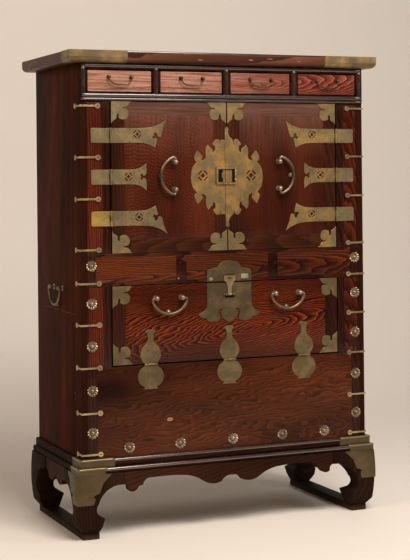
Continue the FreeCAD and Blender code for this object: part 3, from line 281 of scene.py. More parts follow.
def wood(name, stops, along, pith, tilt=(0.0, 0.0, 0.0), ring=0.011, wander=0.03, pores=0.6,
         stain=("ffffff", "98867c"), shine=(0.28, 0.5), coat=0.12, relief=0.25, rough=1.8,
         gloss=0.08, fades=(), clear_rough=0.17, drawn=0.22):
    """Elm: rings about a tilted pith line, bent by slow noise stretched along the grain,
    with fibres and short dark pores, uneven stain and a lacquer coat. Each fade (axis, from,
    to, two colours, share) mixes streaks of another tone in along one axis: pale wear at the
    feet, darker bands, or a painted sheen on the doors and drawers."""
    material = bpy.data.materials.new(name)
    material.use_nodes = True
    nodes, links = material.node_tree.nodes, material.node_tree.links
    shader = nodes["Principled BSDF"]
    axis = "XYZ".index(along)
    where = add(nodes, "TexCoord").outputs["Object"]
    moved = add(nodes, "Mapping", Location=tuple(-value for value in pith),
                Rotation=tuple(math.radians(angle) for angle in tilt))
    links.new(where, moved.inputs["Vector"])
    slow = drawn_out(nodes, links, where, axis, drawn)
    bend = add(nodes, "TexNoise", Scale=9.0, Detail=4.0, Roughness=0.58)
    links.new(slow, bend.inputs["Vector"])
    centred = add(nodes, "VectorMath", operation="MULTIPLY_ADD")
    links.new(bend.outputs["Color"], centred.inputs[0])
    centred.inputs[1].default_value = (wander, wander, wander)
    links.new(moved.outputs[0], centred.inputs[2])
    rings = add(nodes, "TexWave", wave_type="RINGS", rings_direction=along,
                wave_profile="SAW", Scale=wave_pitch / ring, Distortion=rough, Detail=4.0,
                **{"Detail Scale": 2.2, "Detail Roughness": 0.62})
    links.new(centred.outputs[0], rings.inputs["Vector"])
    fine = drawn_out(nodes, links, where, axis, 0.035)
    fibre = add(nodes, "TexNoise", Scale=420.0, Detail=3.0, Roughness=0.6)
    links.new(fine, fibre.inputs["Vector"])
    pore = add(nodes, "TexNoise", Scale=900.0, Detail=1.0)
    links.new(drawn_out(nodes, links, where, axis, 0.09), pore.inputs["Vector"])
    body = add(nodes, "Math", operation="MULTIPLY_ADD")
    links.new(fibre.outputs["Fac"], body.inputs[0])
    body.inputs[1].default_value = 0.42
    links.new(rings.outputs["Fac"], body.inputs[2])
    colour = ramp(nodes, stops)
    links.new(ranged(nodes, links, body.outputs[0], 0.16, 1.24), colour.inputs[0])
    cloud = add(nodes, "TexNoise", Scale=5.0, Detail=3.0, Roughness=0.55)
    links.new(slow, cloud.inputs["Vector"])
    shade = mixed(nodes, links, stain[0], stain[1],
                  ranged(nodes, links, cloud.outputs["Fac"], 0.36, 0.66))
    toned = mixed(nodes, links, colour.outputs[0], shade, 1.0, "MULTIPLY")
    for way, start, end, low, high, share in fades:
        split = add(nodes, "SeparateXYZ")
        links.new(where, split.inputs[0])
        streak = add(nodes, "TexNoise", Scale=170.0, Detail=3.0, Roughness=0.6)
        links.new(fine, streak.inputs["Vector"])
        pale = mixed(nodes, links, low, high,
                     ranged(nodes, links, streak.outputs["Fac"], 0.34, 0.64))
        toned = mixed(nodes, links, toned, pale,
                      ranged(nodes, links, split.outputs[way], start, end, 0.0, share))
    pits = ranged(nodes, links, pore.outputs["Fac"], 0.60, 0.70, 0.0, pores)
    links.new(mixed(nodes, links, toned, stops[0][1], pits), shader.inputs["Base Color"])
    links.new(ranged(nodes, links, fibre.outputs["Fac"], 0.3, 0.7, shine[0], shine[1]),
              shader.inputs["Roughness"])
    height = add(nodes, "Math", operation="MULTIPLY_ADD")
    links.new(pits, height.inputs[0])
    height.inputs[1].default_value = -1.2
    links.new(body.outputs[0], height.inputs[2])
    bump = add(nodes, "Bump", Strength=relief, Distance=0.0006)
    links.new(height.outputs[0], bump.inputs["Height"])
    links.new(bump.outputs[0], shader.inputs["Normal"])
    shader.inputs["Coat Weight"].default_value = coat
    shader.inputs["Coat Roughness"].default_value = clear_rough
    shader.inputs["Specular IOR Level"].default_value = gloss
    return material


def fit(name, shape, material, body, slot, *replaced):
    """A finished piece: made, set on its body and put in place of nodes; the slot is not used."""
    piece = new_object(name, *shape, material)
    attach(piece, body)
    if replaced:
        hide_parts(*replaced)
    return piece


def tones(places, codes):
    """Colour stops along a ramp: each place with its hex colour, the darkest first."""
    return list(zip(places, codes.split()))


plain_steps, soft_steps = (0.0, 0.3, 0.65, 1.0), (0.0, 0.5, 1.0)
figured_steps = (0.0, 0.14, 0.4, 0.75, 1.0)
side_wood = wood("side_elm", tones(plain_steps, "421804 4a1c05 522007 5a2609"), "Z",
                 (0.3, 0.12, 0.0), tilt=(3.0, 2.0, 0.0), ring=0.016, coat=0.0, shine=(0.45, 0.65),
                 stain=("ffffff", "8a8078"), gloss=0.02,
                 fades=(("Y", -0.174, -0.184, "22100a", "22100a", 0.85),))
back_wood = wood("back_softwood", tones(soft_steps, "3a2415 5a3b25 70492e"), "Z", (0.1, 0.3, 0.0),
                 tilt=(2.0, 1.0, 0.0), ring=0.014, coat=0.0, shine=(0.6, 0.8), pores=0.3)
inner_wood = wood("inner_softwood", tones(soft_steps, "5b3d27 8a6443 a27a55"), "X",
                  (0.0, 0.4, 0.5), tilt=(0.0, 2.0, 1.0), ring=0.013, coat=0.0, shine=(0.55, 0.8),
                  pores=0.3)


def node_corners(node):
    """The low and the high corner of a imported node's box."""
    return [np.array(corner, float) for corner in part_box(node)]


def node_plank(node, along, seed, rounding=0.0008):
    """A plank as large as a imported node."""
    return plank(*node_corners(node), along, rounding, seed=seed)


for seed, (node, along, material, slot) in enumerate((
        ("side_board_left", "Z", side_wood, "side_elm"),
        ("side_board_right", "Z", side_wood, "side_elm"),
        ("back_panel", "Z", back_wood, "back_wood"),
        ("bottom_board", "X", inner_wood, "inner_wood"),
        ("middle_shelf", "X", inner_wood, "inner_wood"))):
    fit(node + "_wood", node_plank(node, along, seed), material, "root", slot, node)
for node in ("drawer_deck", "leaf_stops"):
    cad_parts[node].data.materials.clear()
    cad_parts[node].data.materials.append(inner_wood)

# Top board: one thick elm board, rounded under its edge, which runs past the case all round.
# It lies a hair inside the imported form, so that the corner caps stand just proud of it.


def edge_rounded_slab(low, high, under, upper, inset, steps=8):
    """Rectangles stacked up the slab's height, each drawn in by the quarter circle of the
    rounding that it lies in: a large one below, a small one above. The ends close flat."""
    low, high = np.array(low) + inset, np.array(high) - inset
    turn = np.linspace(0, np.pi / 2, steps)
    drawn = np.concatenate([under * (1 - np.sin(turn)), upper * (1 - np.cos(turn))])
    level = np.concatenate([low[2] + under * (1 - np.cos(turn)),
                            high[2] - upper + upper * np.sin(turn)])
    x_spots = np.linspace(-1, 1, 12)
    along = np.concatenate([x_spots, np.full(5, 1.0), x_spots[::-1], np.full(5, -1.0)])
    deep = np.concatenate([np.full(12, -1.0), np.linspace(-1, 1, 7)[1:-1], np.full(12, 1.0),
                           np.linspace(1, -1, 7)[1:-1]])
    middle, reach = (low + high) / 2, (high - low) / 2
    ruffle = 0.0003 * np.sin(along * 9 + deep * 5)
    points = np.stack([middle[0] + along * (reach[0] - drawn[:, None]),
                       middle[1] + deep * (reach[1] - drawn[:, None] - np.abs(ruffle)),
                       np.repeat(level[:, None], len(along), 1)], -1)
    return capped(points)


top_wood = wood("top_elm", tones(plain_steps, "3a2018 4e2c21 61392a 744a38"), "X",
                (0.0, 0.1, 1.16), tilt=(0.0, 3.0, 2.0), ring=0.02, coat=0.2, shine=(0.35, 0.55),
                clear_rough=0.15, rough=0.8, gloss=0.04, stain=("ffffff", "a8968c"))
fit("top_board_wood", edge_rounded_slab(*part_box("top_board"), 0.0137, 0.0030, 0.0003),
    top_wood, "root", "side_elm", "top_board")

# Front: dark lacquered stiles and rails round small figured panels, and one wide panel low
# down. The members are planks butted like the real tenoned frame, a shade darker than the
# panels, which lie a little under their faces.
front_y = float(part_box("lower_front_panel")[0][1])
front_deep = float(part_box("lower_front_panel")[1][1])
dark_wood = wood("dark_lacquered_elm", tones(plain_steps, "1a0b07 2c130b 3a1b10 452214"), "Z",
                 (0.2, 0.0, 0.0), tilt=(6.0, 3.0, 0.0), ring=0.009, coat=0.16, shine=(0.2, 0.4),
                 stain=("ffffff", "a08c84"), relief=0.15)
level_dark_wood = wood("dark_lacquered_rails", tones(plain_steps, "200d07 38180c 4e2611 5e3118"),
                       "X", (0.0, 0.1, 0.7), tilt=(0.0, 4.0, 3.0), ring=0.009, coat=0.16,
                       shine=(0.2, 0.4), stain=("ffffff", "a08c84"), relief=0.15)
stile_red = wood("stile_panel_elm", tones(figured_steps, "200b06 34120a 501c0f 682913 783518"),
                 "Z", (0.37, 0.06, 0.2), tilt=(7.0, 4.0, 0.0), ring=0.0058, wander=0.04,
                 coat=0.14)
rail_red = wood("rail_panel_elm",
                tones((0.0, 0.12, 0.4, 0.7, 1.0), "1a0904 341309 53210e 703416 864920"), "X",
                (-0.19, -0.196, 0.688), tilt=(0.0, 2.0, 4.0), ring=0.0045, wander=0.035,
                coat=0.16)
low_red = wood("lower_panel_elm", tones(figured_steps, "2c1208 3e1c0d 4c2310 582b13 643418"), "X",
               (0.05, -0.160, 0.25), tilt=(0.0, 11.0, 8.0), ring=0.0085, wander=0.15, coat=0.1,
               rough=0.4, stain=("ffffff", "705e54"), drawn=0.3)

half_case = 0.41
stile_edges = {"inner": 0.329, "panel_in": 0.350, "panel_out": 0.390, "outer": 0.395,
               "post": 0.370}
tier_levels = [0.198, 0.436, 0.6452, 0.7266, 1.121]
recess, fillet = 0.0006, 0.004
parts, panel_parts = [], []
for tier, (bottom, top) in enumerate(zip(tier_levels[:-1], tier_levels[1:])):
    spans = ([(stile_edges["inner"], stile_edges["panel_in"], bottom, top),
              (stile_edges["panel_out"], stile_edges["outer"], bottom, top),
              (stile_edges["panel_in"], stile_edges["panel_out"], bottom, bottom + fillet),
              (stile_edges["panel_in"], stile_edges["panel_out"], top - fillet, top)]
             if tier % 2 else [(stile_edges["post"], stile_edges["outer"], bottom, top)])
    for side in (-1, 1):
        for inner, outer, low_z, high_z in spans:
            parts.append(side_plank(side, inner, outer, (front_y, front_deep),
                                    (low_z, high_z), "Z" if high_z - low_z > 0.01 else "X",
                                    0.0006, seed=len(parts)))
        if tier % 2:
            panel_parts.append(side_plank(
                side, stile_edges["panel_in"], stile_edges["panel_out"],
                (front_y + recess, front_deep), (bottom + fillet, top - fillet), "Z", 0.0008,
                seed=len(panel_parts)))
fit("front_stiles_wood", joined(parts), dark_wood, "root", "dark_lacquer", "front_stiles")
fit("front_stile_panels", joined(panel_parts), stile_red, "root", "figured_elm")

rail_low, rail_high = tier_levels[2] + 0.008, tier_levels[3] - 0.008
muntins = (0.119, 0.147)
reach = stile_edges["post"]
parts = [plank((-reach, front_y, tier_levels[2]), (reach, front_deep, rail_low), "X", 0.0006),
         plank((-reach, front_y, rail_high), (reach, front_deep, tier_levels[3]), "X", 0.0006)]
parts += [side_plank(side, *muntins, (front_y, front_deep), (rail_low, rail_high), "Z",
                     0.0006, seed=side) for side in (-1, 1)]
fit("middle_rail_wood", joined(parts), level_dark_wood, "root", "dark_lacquer", "middle_rail")
parts = [plank((x0, front_y + recess, rail_low), (x1, front_deep, rail_high), "X", 0.0008)
         for x0, x1 in ((-reach, -muntins[1]), (-muntins[0], muntins[0]), (muntins[1], reach))]
fit("rail_panels_wood", joined(parts), rail_red, "root", "figured_elm", "front_panels")
fit("lower_panel_wood", node_plank("lower_front_panel", "X", 5), low_red, "root",
    "figured_elm", "lower_front_panel")

# Drawer row: a near-black moulded frame with raised beads, and four small elm drawers whose
# fronts are a pinkish red, painted paler towards the left as a sheen. The beads catch the
# light along their whole length.
frame_face_y = float(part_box("drawer_frame")[0][1])
member_y = -0.18975
band_bottom, band_sill, band_head, band_top = 1.121, 1.1415, 1.202, 1.2174
drawer_reach, band_reach = 0.391, 0.395
frame_wood = wood("drawer_frame_lacquer", tones(plain_steps, "160b07 24130b 301b11 3a2216"), "X",
                  (0.0, 0.2, 1.1), tilt=(0.0, 4.0, 2.0), ring=0.01, coat=0.0, shine=(0.5, 0.7),
                  relief=0.08, gloss=0.04)
bead_wood = wood("bead_lacquer", tones(soft_steps, "22120c 362018 462c22"), "X", (0.0, 0.2, 1.1),
                 ring=0.01, coat=1.0, shine=(0.2, 0.3), relief=0.02, pores=0.2, clear_rough=0.12,
                 gloss=0.6)


def round_bar(path, radius, count=16, closed=False):
    """A round bar along a path: circles of the given radii square to the path's direction,
    turned with it by the least twist, and closed at the ends by shrinking rings."""
    path = np.asarray(path, float)
    radius = np.broadcast_to(np.asarray(radius, float), (len(path),)).copy()
    if not closed:
        first, last = path[0], path[-1]
        lead = (path[0] - path[1]) / np.linalg.norm(path[0] - path[1])
        trail = (path[-1] - path[-2]) / np.linalg.norm(path[-1] - path[-2])
        turn = np.radians([75, 50, 25])
        head = first + lead * (radius[0] * 0.35 * np.sin(turn))[:, None]
        tail = last + trail * (radius[-1] * 0.35 * np.sin(turn[::-1]))[:, None]
        path = np.concatenate([head, path, tail])
        radius = np.concatenate([radius[0] * np.cos(turn), radius,
                                 radius[-1] * np.cos(turn[::-1])])
    ahead_by = np.gradient(path, axis=0) if not closed else (
        np.roll(path, -1, axis=0) - np.roll(path, 1, axis=0))
    ahead_by /= np.linalg.norm(ahead_by, axis=1)[:, None]
    spread = np.linalg.svd(path - path.mean(axis=0))[2]
    side = spread[2] if len(path) > 2 else spread[-1]
    out = np.cross(ahead_by, side)
    size = np.linalg.norm(out, axis=1)
    if size.min() < 0.1:
        out = np.cross(ahead_by, spread[1])
        size = np.linalg.norm(out, axis=1)
    out /= size[:, None]
    other = np.cross(out, ahead_by)
    angle = np.linspace(0, 2 * np.pi, count, endpoint=False)
    ring = (out[:, None] * np.cos(angle)[:, None] + other[:, None] * np.sin(angle)[:, None])
    points = path[:, None] + ring * radius[:, None, None]
    if not closed:
        return capped(points)
    faces = grid_faces(len(path), count, True, True).tolist()
    return outward(points.reshape(-1, 3), faces)


def straight(start, end, radius, steps=12, **options):
    """A round bar between two points."""
    start, end = np.array(start, float), np.array(end, float)
    path = start + (end - start) * np.linspace(0, 1, steps)[:, None]
    return round_bar(path, radius, **options)


parts, beads = [], []
rail_bead, foot_bead, post_bead = 0.0060, 0.0036, 0.0062
for low_z, high_z in ((band_bottom, band_sill), (band_head, band_top)):
    parts.append(plank((-half_case, member_y, low_z), (half_case, front_y, high_z), "X",
                       0.0009, seed=len(parts)))
    parts.append(plank((-band_reach, front_y, low_z), (band_reach, front_deep, high_z), "X",
                       0.0009, seed=len(parts)))
for level, radius in ((band_top - 0.0062, rail_bead), (band_sill - 0.0066, rail_bead),
                      (band_bottom + 0.0040, foot_bead)):
    near_y = frame_face_y + radius + 0.0001
    beads.append(straight((-half_case + radius, near_y, level),
                          (half_case - radius, near_y, level), radius, 40))
for side in (-1, 1):
    for far, near_y, far_y in ((half_case, member_y, front_y),
                               (band_reach, front_y, front_deep)):
        parts.append(side_plank(side, drawer_reach, far, (near_y, far_y),
                                (band_sill, band_head), "Z", 0.0006, seed=side))
for middle in (-0.4005, -0.2005, 0.0, 0.2005, 0.4005):
    near_y = frame_face_y + post_bead + 0.0002
    if abs(middle) < 0.3:
        parts.append(plank((middle - 0.01, member_y, band_sill),
                           (middle + 0.01, front_deep, band_head), "Z", 0.0012))
    beads.append(straight((middle, near_y, band_sill - 0.004),
                          (middle, near_y, band_head + 0.004), post_bead))
fit("drawer_frame_wood", joined(parts), frame_wood, "root", "dark_lacquer", "drawer_frame")
fit("drawer_frame_beads", joined(beads), bead_wood, "root", "dark_lacquer")

# The fronts' fade is a painted sheen: paler pink streaks towards the left.
drawer_wood = wood("drawer_front_elm",
                   tones((0.0, 0.18, 0.45, 0.75, 1.0), "300f08 4c1b10 6a2c1e 7e4132 945c4c"), "X",
                   (0.1, -0.15, 1.17), tilt=(0.0, 5.0, 8.0), ring=0.0042, coat=0.1,
                   shine=(0.3, 0.5), stain=("ffffff", "c0a89c"),
                   fades=(("X", 0.22, -0.12, "884630", "d6b09c", 0.52),))
for index in range(1, 5):
    low, high = node_corners("drawer_%d_box" % index)
    face_y = low[1]
    back_y, wall, drop, gap = face_y + 0.014, 0.008, 0.006, 0.0018
    front = plank((low[0] + gap, face_y, low[2] + gap), (high[0] - gap, back_y, high[2] - gap),
                  "X", 0.0018, 0.0002, seed=index)
    top = high[2] - drop
    inside = (low[0] + wall, high[0] - wall)
    parts = [plank((x0, back_y, low[2]), (x1, high[1], top), "Y", 0.0006)
             for x0, x1 in ((low[0], inside[0]), (inside[1], high[0]))]
    parts.append(plank((inside[0], high[1] - wall, low[2]), (inside[1], high[1], top), "X",
                       0.0006))
    parts.append(plank((inside[0], back_y, low[2]),
                       (inside[1], high[1] - wall, low[2] + 0.005), "X", 0.0003))
    fit("drawer_%d_wood" % index, front, drawer_wood, "drawer_%d" % index, "drawer_elm",
        "drawer_%d_box" % index)
    fit("drawer_%d_inside" % index, joined(parts), inner_wood, "drawer_%d" % index,
        "inner_wood")

# Doors and flap: flush leaves of dark border members round a figured panel. The doors' grain
# stands upright in peaked arcs, and the flap's runs level in bright orange waves.
border_wood = wood("leaf_border_elm", tones(plain_steps, "2c140b 3a1b10 442214 4c2818"), "Z",
                   (0.3, -0.1, 0.9), tilt=(5.0, 4.0, 0.0), ring=0.008, coat=0.16,
                   shine=(0.2, 0.4))
# The level members' fade is a painted sheen, paler and greyer on the doors' upper members.
level_border_wood = wood("leaf_border_level_elm",
                         tones(plain_steps, "30160c 3e1d10 482413 502a17"), "X",
                         (0.1, -0.1, 0.75), tilt=(0.0, 4.0, 5.0), ring=0.008, coat=0.16,
                         shine=(0.2, 0.4),
                         fades=(("Z", 0.9, 1.1, "5c4038", "7c5e52", 0.5),))
# The panels' fade is a painted sheen, greyish over their upper parts.
door_red = wood("door_panel_elm", tones(figured_steps, "2a0f07 3e180d 502112 5c2816 68301c"), "Z",
                (-0.19, -0.20, 0.95), tilt=(22.0, 3.0, 0.0), ring=0.0036, wander=0.045,
                shine=(0.22, 0.42), stain=("ffffff", "6c5a54"),
                fades=(("Z", 0.97, 1.12, "5e4036", "7a5c50", 0.4),))
flap_red = wood("flap_panel_elm",
                tones((0.0, 0.2, 0.5, 0.8, 1.0), "140703 260c06 4a1a0b 782e10 a4481b"), "X",
                (0.22, -0.13, 0.54), tilt=(0.0, 7.0, 9.0), ring=0.0042, wander=0.06, coat=0.16,
                shine=(0.2, 0.4), stain=("ffffff", "6a5850"),
                fades=(("Z", 0.51, 0.44, "220e08", "36190e", 0.6),
                       ("Z", 0.655, 0.690, "220e08", "36190e", 0.6)))
border, leaf_depth, panel_depth = 0.036, 0.020, 0.012


def leaf(name, body, low, high, panel_material, level_members, node):
    """A framed leaf: end members, level members between them if it has any, and a panel."""
    x0, x1, z0, z1 = low[0], high[0], low[2], high[2]
    deep = front_y + leaf_depth
    ends = [plank((x0, front_y, z0), (x0 + border, deep, z1), "Z", 0.0008, seed=1),
            plank((x1 - border, front_y, z0), (x1, deep, z1), "Z", 0.0008, seed=2)]
    fit(name + "_end_members", joined(ends), border_wood, body, "dark_lacquer", node)
    lift = border if level_members else 0.0
    if level_members:
        rails = [plank((x0 + border, front_y, a), (x1 - border, deep, b), "X", 0.0008,
                       seed=3) for a, b in ((z0, z0 + border), (z1 - border, z1))]
        fit(name + "_level_members", joined(rails), level_border_wood, body, "dark_lacquer")
    middle = plank((x0 + border, front_y + 0.0004, z0 + lift),
                   (x1 - border, front_y + (panel_depth if lift else leaf_depth), z1 - lift),
                   "X" if not lift else "Z", 0.0005, seed=4)
    fit(name + "_panel", middle, panel_material, body, "figured_elm")


for side in ("left", "right"):
    node = side + "_door_board"
    leaf(side + "_door", side + "_door", *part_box(node), door_red, True, node)
leaf("flap", "flap", *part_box("flap_board"), flap_red, False, "flap_board")

# Stand: a moulding round the case's foot, a wider one on the stand, four scrolled legs,
# shaped aprons and two floor stretchers, in dark elm worn pale along the feet's edges.
stand_wood = wood("stand_elm", tones(plain_steps, "2c170f 371d12 402416 482b1b"), "X",
                  (0.2, -0.1, 0.05), tilt=(0.0, 6.0, 8.0), ring=0.008, coat=0.0,
                  shine=(0.45, 0.65), gloss=0.05)
leg_wood = wood("leg_elm", tones(plain_steps, "24130b 2c1a11 342016 3c271b"), "Z",
                (0.45, -0.1, 0.05), tilt=(8.0, 6.0, 0.0), ring=0.008, coat=0.0, shine=(0.5, 0.7),
                gloss=0.04, fades=(("Z", 0.016, 0.0, "3c2c20", "846c54", 0.35),))


def four_strips(node, wide, rounding):
    """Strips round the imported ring's outline: two full-length ones and two between them."""
    low, high = node_corners(node)
    strips = [plank(low, (high[0], low[1] + wide, high[2]), "X", rounding, seed=1),
              plank((low[0], high[1] - wide, low[2]), high, "X", rounding, seed=2)]
    for x0, x1 in ((low[0], low[0] + wide), (high[0] - wide, high[0])):
        strips.append(plank((x0, low[1] + wide, low[2]), (x1, high[1] - wide, high[2]), "Y",
                            rounding, seed=3))
    return joined(strips)


foot_bead_wood = wood("foot_bead_lacquer", tones(soft_steps, "26120c 3c2018 4e2e24"), "X",
                      (0.0, 0.2, 0.2), ring=0.01, coat=1.0, shine=(0.12, 0.22), relief=0.02,
                      pores=0.2, clear_rough=0.1, gloss=1.0)


def edge_bead(node, radius, reach=1.0, proud=0.0):
    """A round bar let into the top front edge of a packed form, over the given share of its
    width, standing proud of its face by the given length."""
    low, high = node_corners(node)
    x0, x1, y0 = low[0] + radius, high[0] - radius, low[1] + radius - proud
    return straight((x0 * reach, y0, high[2] - radius), (x1 * reach, y0, high[2] - radius),
                    radius, 40)


for node, wide, rounding, bead in (("base_moulding", 0.008, 0.0039, 0.0048),
                                   ("stand_frame", 0.030, 0.0054, 0.0053)):
    fit(node + "_wood", four_strips(node, wide, rounding), frame_wood, "root", "dark_lacquer",
        node)
    fit(node + "_bead", edge_bead(node, bead, proud=0.0008), foot_bead_wood, "root",
        "dark_lacquer")
fit("top_board_worn_edge", edge_bead("top_board", 0.0036, 0.7), foot_bead_wood, "root",
    "side_elm")


def soften(node, width, material, segments=2):
    """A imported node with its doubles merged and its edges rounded, in a new material."""
    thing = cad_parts[node]
    merge = thing.modifiers.new("merge", "WELD")
    merge.merge_threshold = 0.00002
    round_edges = thing.modifiers.new("round_edges", "BEVEL")
    round_edges.width = width
    round_edges.segments = segments
    round_edges.limit_method = "ANGLE"
    round_edges.angle_limit = math.radians(35)
    thing.data.materials.clear()
    thing.data.materials.append(material)


soften("stand_legs", 0.0016, leg_wood)
soften("front_apron", 0.0012, stand_wood)
soften("side_aprons", 0.0012, stand_wood)
low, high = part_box("floor_stretchers")
wide = 0.045
fit("floor_stretchers_wood", joined([
    plank((low[0], low[1], low[2]), (low[0] + wide, high[1], high[2]), "Y", 0.0025, 0.0004, 1),
    plank((high[0] - wide, low[1], low[2]), (high[0], high[1], high[2]), "Y", 0.0025, 0.0004,
          2)]), leg_wood, "root", "stand_elm", "floor_stretchers")

# Sheet fittings of the doors: brass sheet cut with a saw, pierced, nailed on and gone dull
# under a pale brown film that is rubbed back to yellow in places. Their outlines are smooth
# runs in millimetres that meet in cusps, with domed nails and rows of punched dots.


def brass(name, bright, film, dark, clear=0.45, rough=(0.34, 0.56), metal=0.75, relief=0.35):
    """Old brass: bright metal under a film that thickens in clouds, with dark specks and
    fine scratches in the roughness and the relief."""
    material = bpy.data.materials.new(name)
    material.use_nodes = True
    nodes, links = material.node_tree.nodes, material.node_tree.links
    shader = nodes["Principled BSDF"]
    where = add(nodes, "TexCoord").outputs["Object"]
    cloud = add(nodes, "TexNoise", Scale=26.0, Detail=5.0, Roughness=0.62)
    links.new(where, cloud.inputs["Vector"])
    speck = add(nodes, "TexNoise", Scale=240.0, Detail=3.0, Roughness=0.6)
    links.new(where, speck.inputs["Vector"])
    filmed = mixed(nodes, links, film, bright,
                   ranged(nodes, links, cloud.outputs["Fac"], clear, clear + 0.22))
    broad = add(nodes, "TexNoise", Scale=9.0, Detail=2.0)
    links.new(where, broad.inputs["Vector"])
    aged = mixed(nodes, links, filmed, dark,
                 ranged(nodes, links, broad.outputs["Fac"], 0.5, 0.8, 0.0, 0.6))
    spotted = mixed(nodes, links, aged, dark,
                    ranged(nodes, links, speck.outputs["Fac"], 0.6, 0.72, 0.0, 0.7))
    links.new(spotted, shader.inputs["Base Color"])
    shader.inputs["Metallic"].default_value = metal
    links.new(ranged(nodes, links, speck.outputs["Fac"], 0.3, 0.7, *rough),
              shader.inputs["Roughness"])
    bump = add(nodes, "Bump", Strength=relief, Distance=0.0004)
    links.new(speck.outputs["Fac"], bump.inputs["Height"])
    links.new(bump.outputs[0], shader.inputs["Normal"])
    return material


strap_brass = brass("strap_brass", "9a8660", "7f7052", "54473a")
# The right door's plates take a more golden copy of the strap brass.
rubbed_strap_brass = brass("rubbed_strap_brass", "ac8a50", "827150", "54473a", clear=0.42)
mm = 0.001


def flowing(runs, steps=5):
    """An outline from runs of points: a run of two is straight, a longer one is drawn through
    its points by Catmull-Rom cubics, and the runs meet in corners."""
    line = []
    for run in runs:
        run = np.array(run, float)
        if len(run) == 2:
            line.append(run[:1])
            continue
        padded = np.concatenate([[2 * run[0] - run[1]], run, [2 * run[-1] - run[-2]]])
        t = np.linspace(0, 1, steps, endpoint=False)[:, None]
        for before, start, end, after in zip(padded, padded[1:], padded[2:], padded[3:]):
            line.append(0.5 * (2 * start + (end - before) * t
                               + (2 * before - 5 * start + 4 * end - after) * t ** 2
                               + (3 * start - before - 3 * end + after) * t ** 3))
    return np.concatenate(line)


def turned(loop, clockwise=False):
    """A loop that runs anticlockwise, or clockwise, by the sign of its shoelace area."""
    ahead_of = np.roll(loop, -1, axis=0)
    area = np.sum(loop[:, 0] * ahead_of[:, 1] - loop[:, 1] * ahead_of[:, 0])
    return loop[::-1] if (area < 0) != clockwise else loop


def sheet(loops, back=None, thick=0.0015, edge=0.0005, slope=0.0004):
    """A flat plate on the front from an outline and its holes in metres: the outline at the
    back and near the front, and drawn in by the edge's width on the face, all filled by
    triangles between the loops."""
    back = front_y if back is None else back
    loops = [turned(np.array(loop, float), index > 0) for index, loop in enumerate(loops)]
    rings, walls, start = ([], [], []), [], 0
    total = sum(len(loop) for loop in loops)
    for loop in loops:
        before, after = np.roll(loop, 1, axis=0), np.roll(loop, -1, axis=0)
        run = (after - before) / np.linalg.norm(after - before, axis=1)[:, None]
        drawn = loop + edge * np.stack([-run[:, 1], run[:, 0]], -1)
        for ring, shape, depth in zip(rings, (loop, loop, drawn),
                                      (back, back - thick + slope, back - thick)):
            ring.append(np.stack([shape[:, 0], np.full(len(shape), depth), shape[:, 1]], -1))
        here = np.arange(len(loop)) + start
        then = np.roll(here, -1)
        for level in (0, total):
            walls += np.stack([here + level, then + level, then + level + total,
                               here + level + total], -1).tolist()
        start += len(loop)
    flat = np.concatenate(loops)
    fans = []
    for fan in tessellate_polygon([[Vector((x, z, 0)) for x, z in loop] for loop in loops]):
        (ax, az), (bx, bz), (cx, cz) = flat[list(fan)]
        clockwise = (bx - ax) * (cz - az) - (bz - az) * (cx - ax) < 0
        fans.append(tuple(fan)[::-1] if clockwise else tuple(fan))
    faces = [fan[::-1] for fan in fans]
    faces += walls + [[index + 2 * total for index in fan] for fan in fans]
    return outward(np.concatenate([np.concatenate(ring) for ring in rings]), faces)


def mirrored(runs):
    """A whole outline from the runs of its half, which end on the middle line."""
    half = flowing(runs)
    return np.concatenate([half, [runs[-1][-1]], half[::-1] * [-1, 1]])


def set_at(line, x, z, side=1, lift=1):
    """An outline in millimetres set at a place in metres, mirrored where a sign is minus."""
    return np.array([x, z]) + np.array(line) * mm * np.array([side, lift])


def lozenge_holes(x, z, size):
    """A pierced lozenge: a small diamond between four slanted strokes."""
    loops = [set_at(np.array([(1, 0), (0, 1), (-1, 0), (0, -1)]) * 0.42 * size, x, z)]
    for quarter in range(4):
        out = np.array([math.cos(math.pi * (quarter + 0.5) / 2),
                        math.sin(math.pi * (quarter + 0.5) / 2)])
        along = np.array([-out[1], out[0]])
        loops.append(set_at([out * 0.68 * size + along * a * size * 0.4 + out * b * size * 0.12
                             for a, b in ((1, 1), (-1, 1), (-1, -1), (1, -1))], x, z))
    return loops


def dome(x, z, radius, high, foot, count=12):
    """A nail head on the front: rings that close in as a quarter ellipse rises, on a short
    straight foot sunk under the surface."""
    turn = np.linspace(0, np.pi / 2, 4)
    reach = np.concatenate([[radius], radius * np.cos(turn[:-1]), [radius * 0.12]])
    rise = np.concatenate([[-0.0004], high * np.sin(turn[:-1]), [high]])
    angle = np.linspace(0, 2 * np.pi, count, endpoint=False)
    return capped(np.stack([x + reach[:, None] * np.cos(angle),
                            np.repeat((foot - rise)[:, None], count, 1),
                            z + reach[:, None] * np.sin(angle)], -1))


plate_y = front_y - 0.0015


def nails(x, z, places, radius=0.0015, high=0.0008, side=1, lift=1):
    """Nail heads on a plate, at places in millimetres from a point in metres, mirrored where
    a sign is minus."""
    return [dome(x + side * u * mm, z + lift * v * mm, radius, high, plate_y)
            for u, v in places]


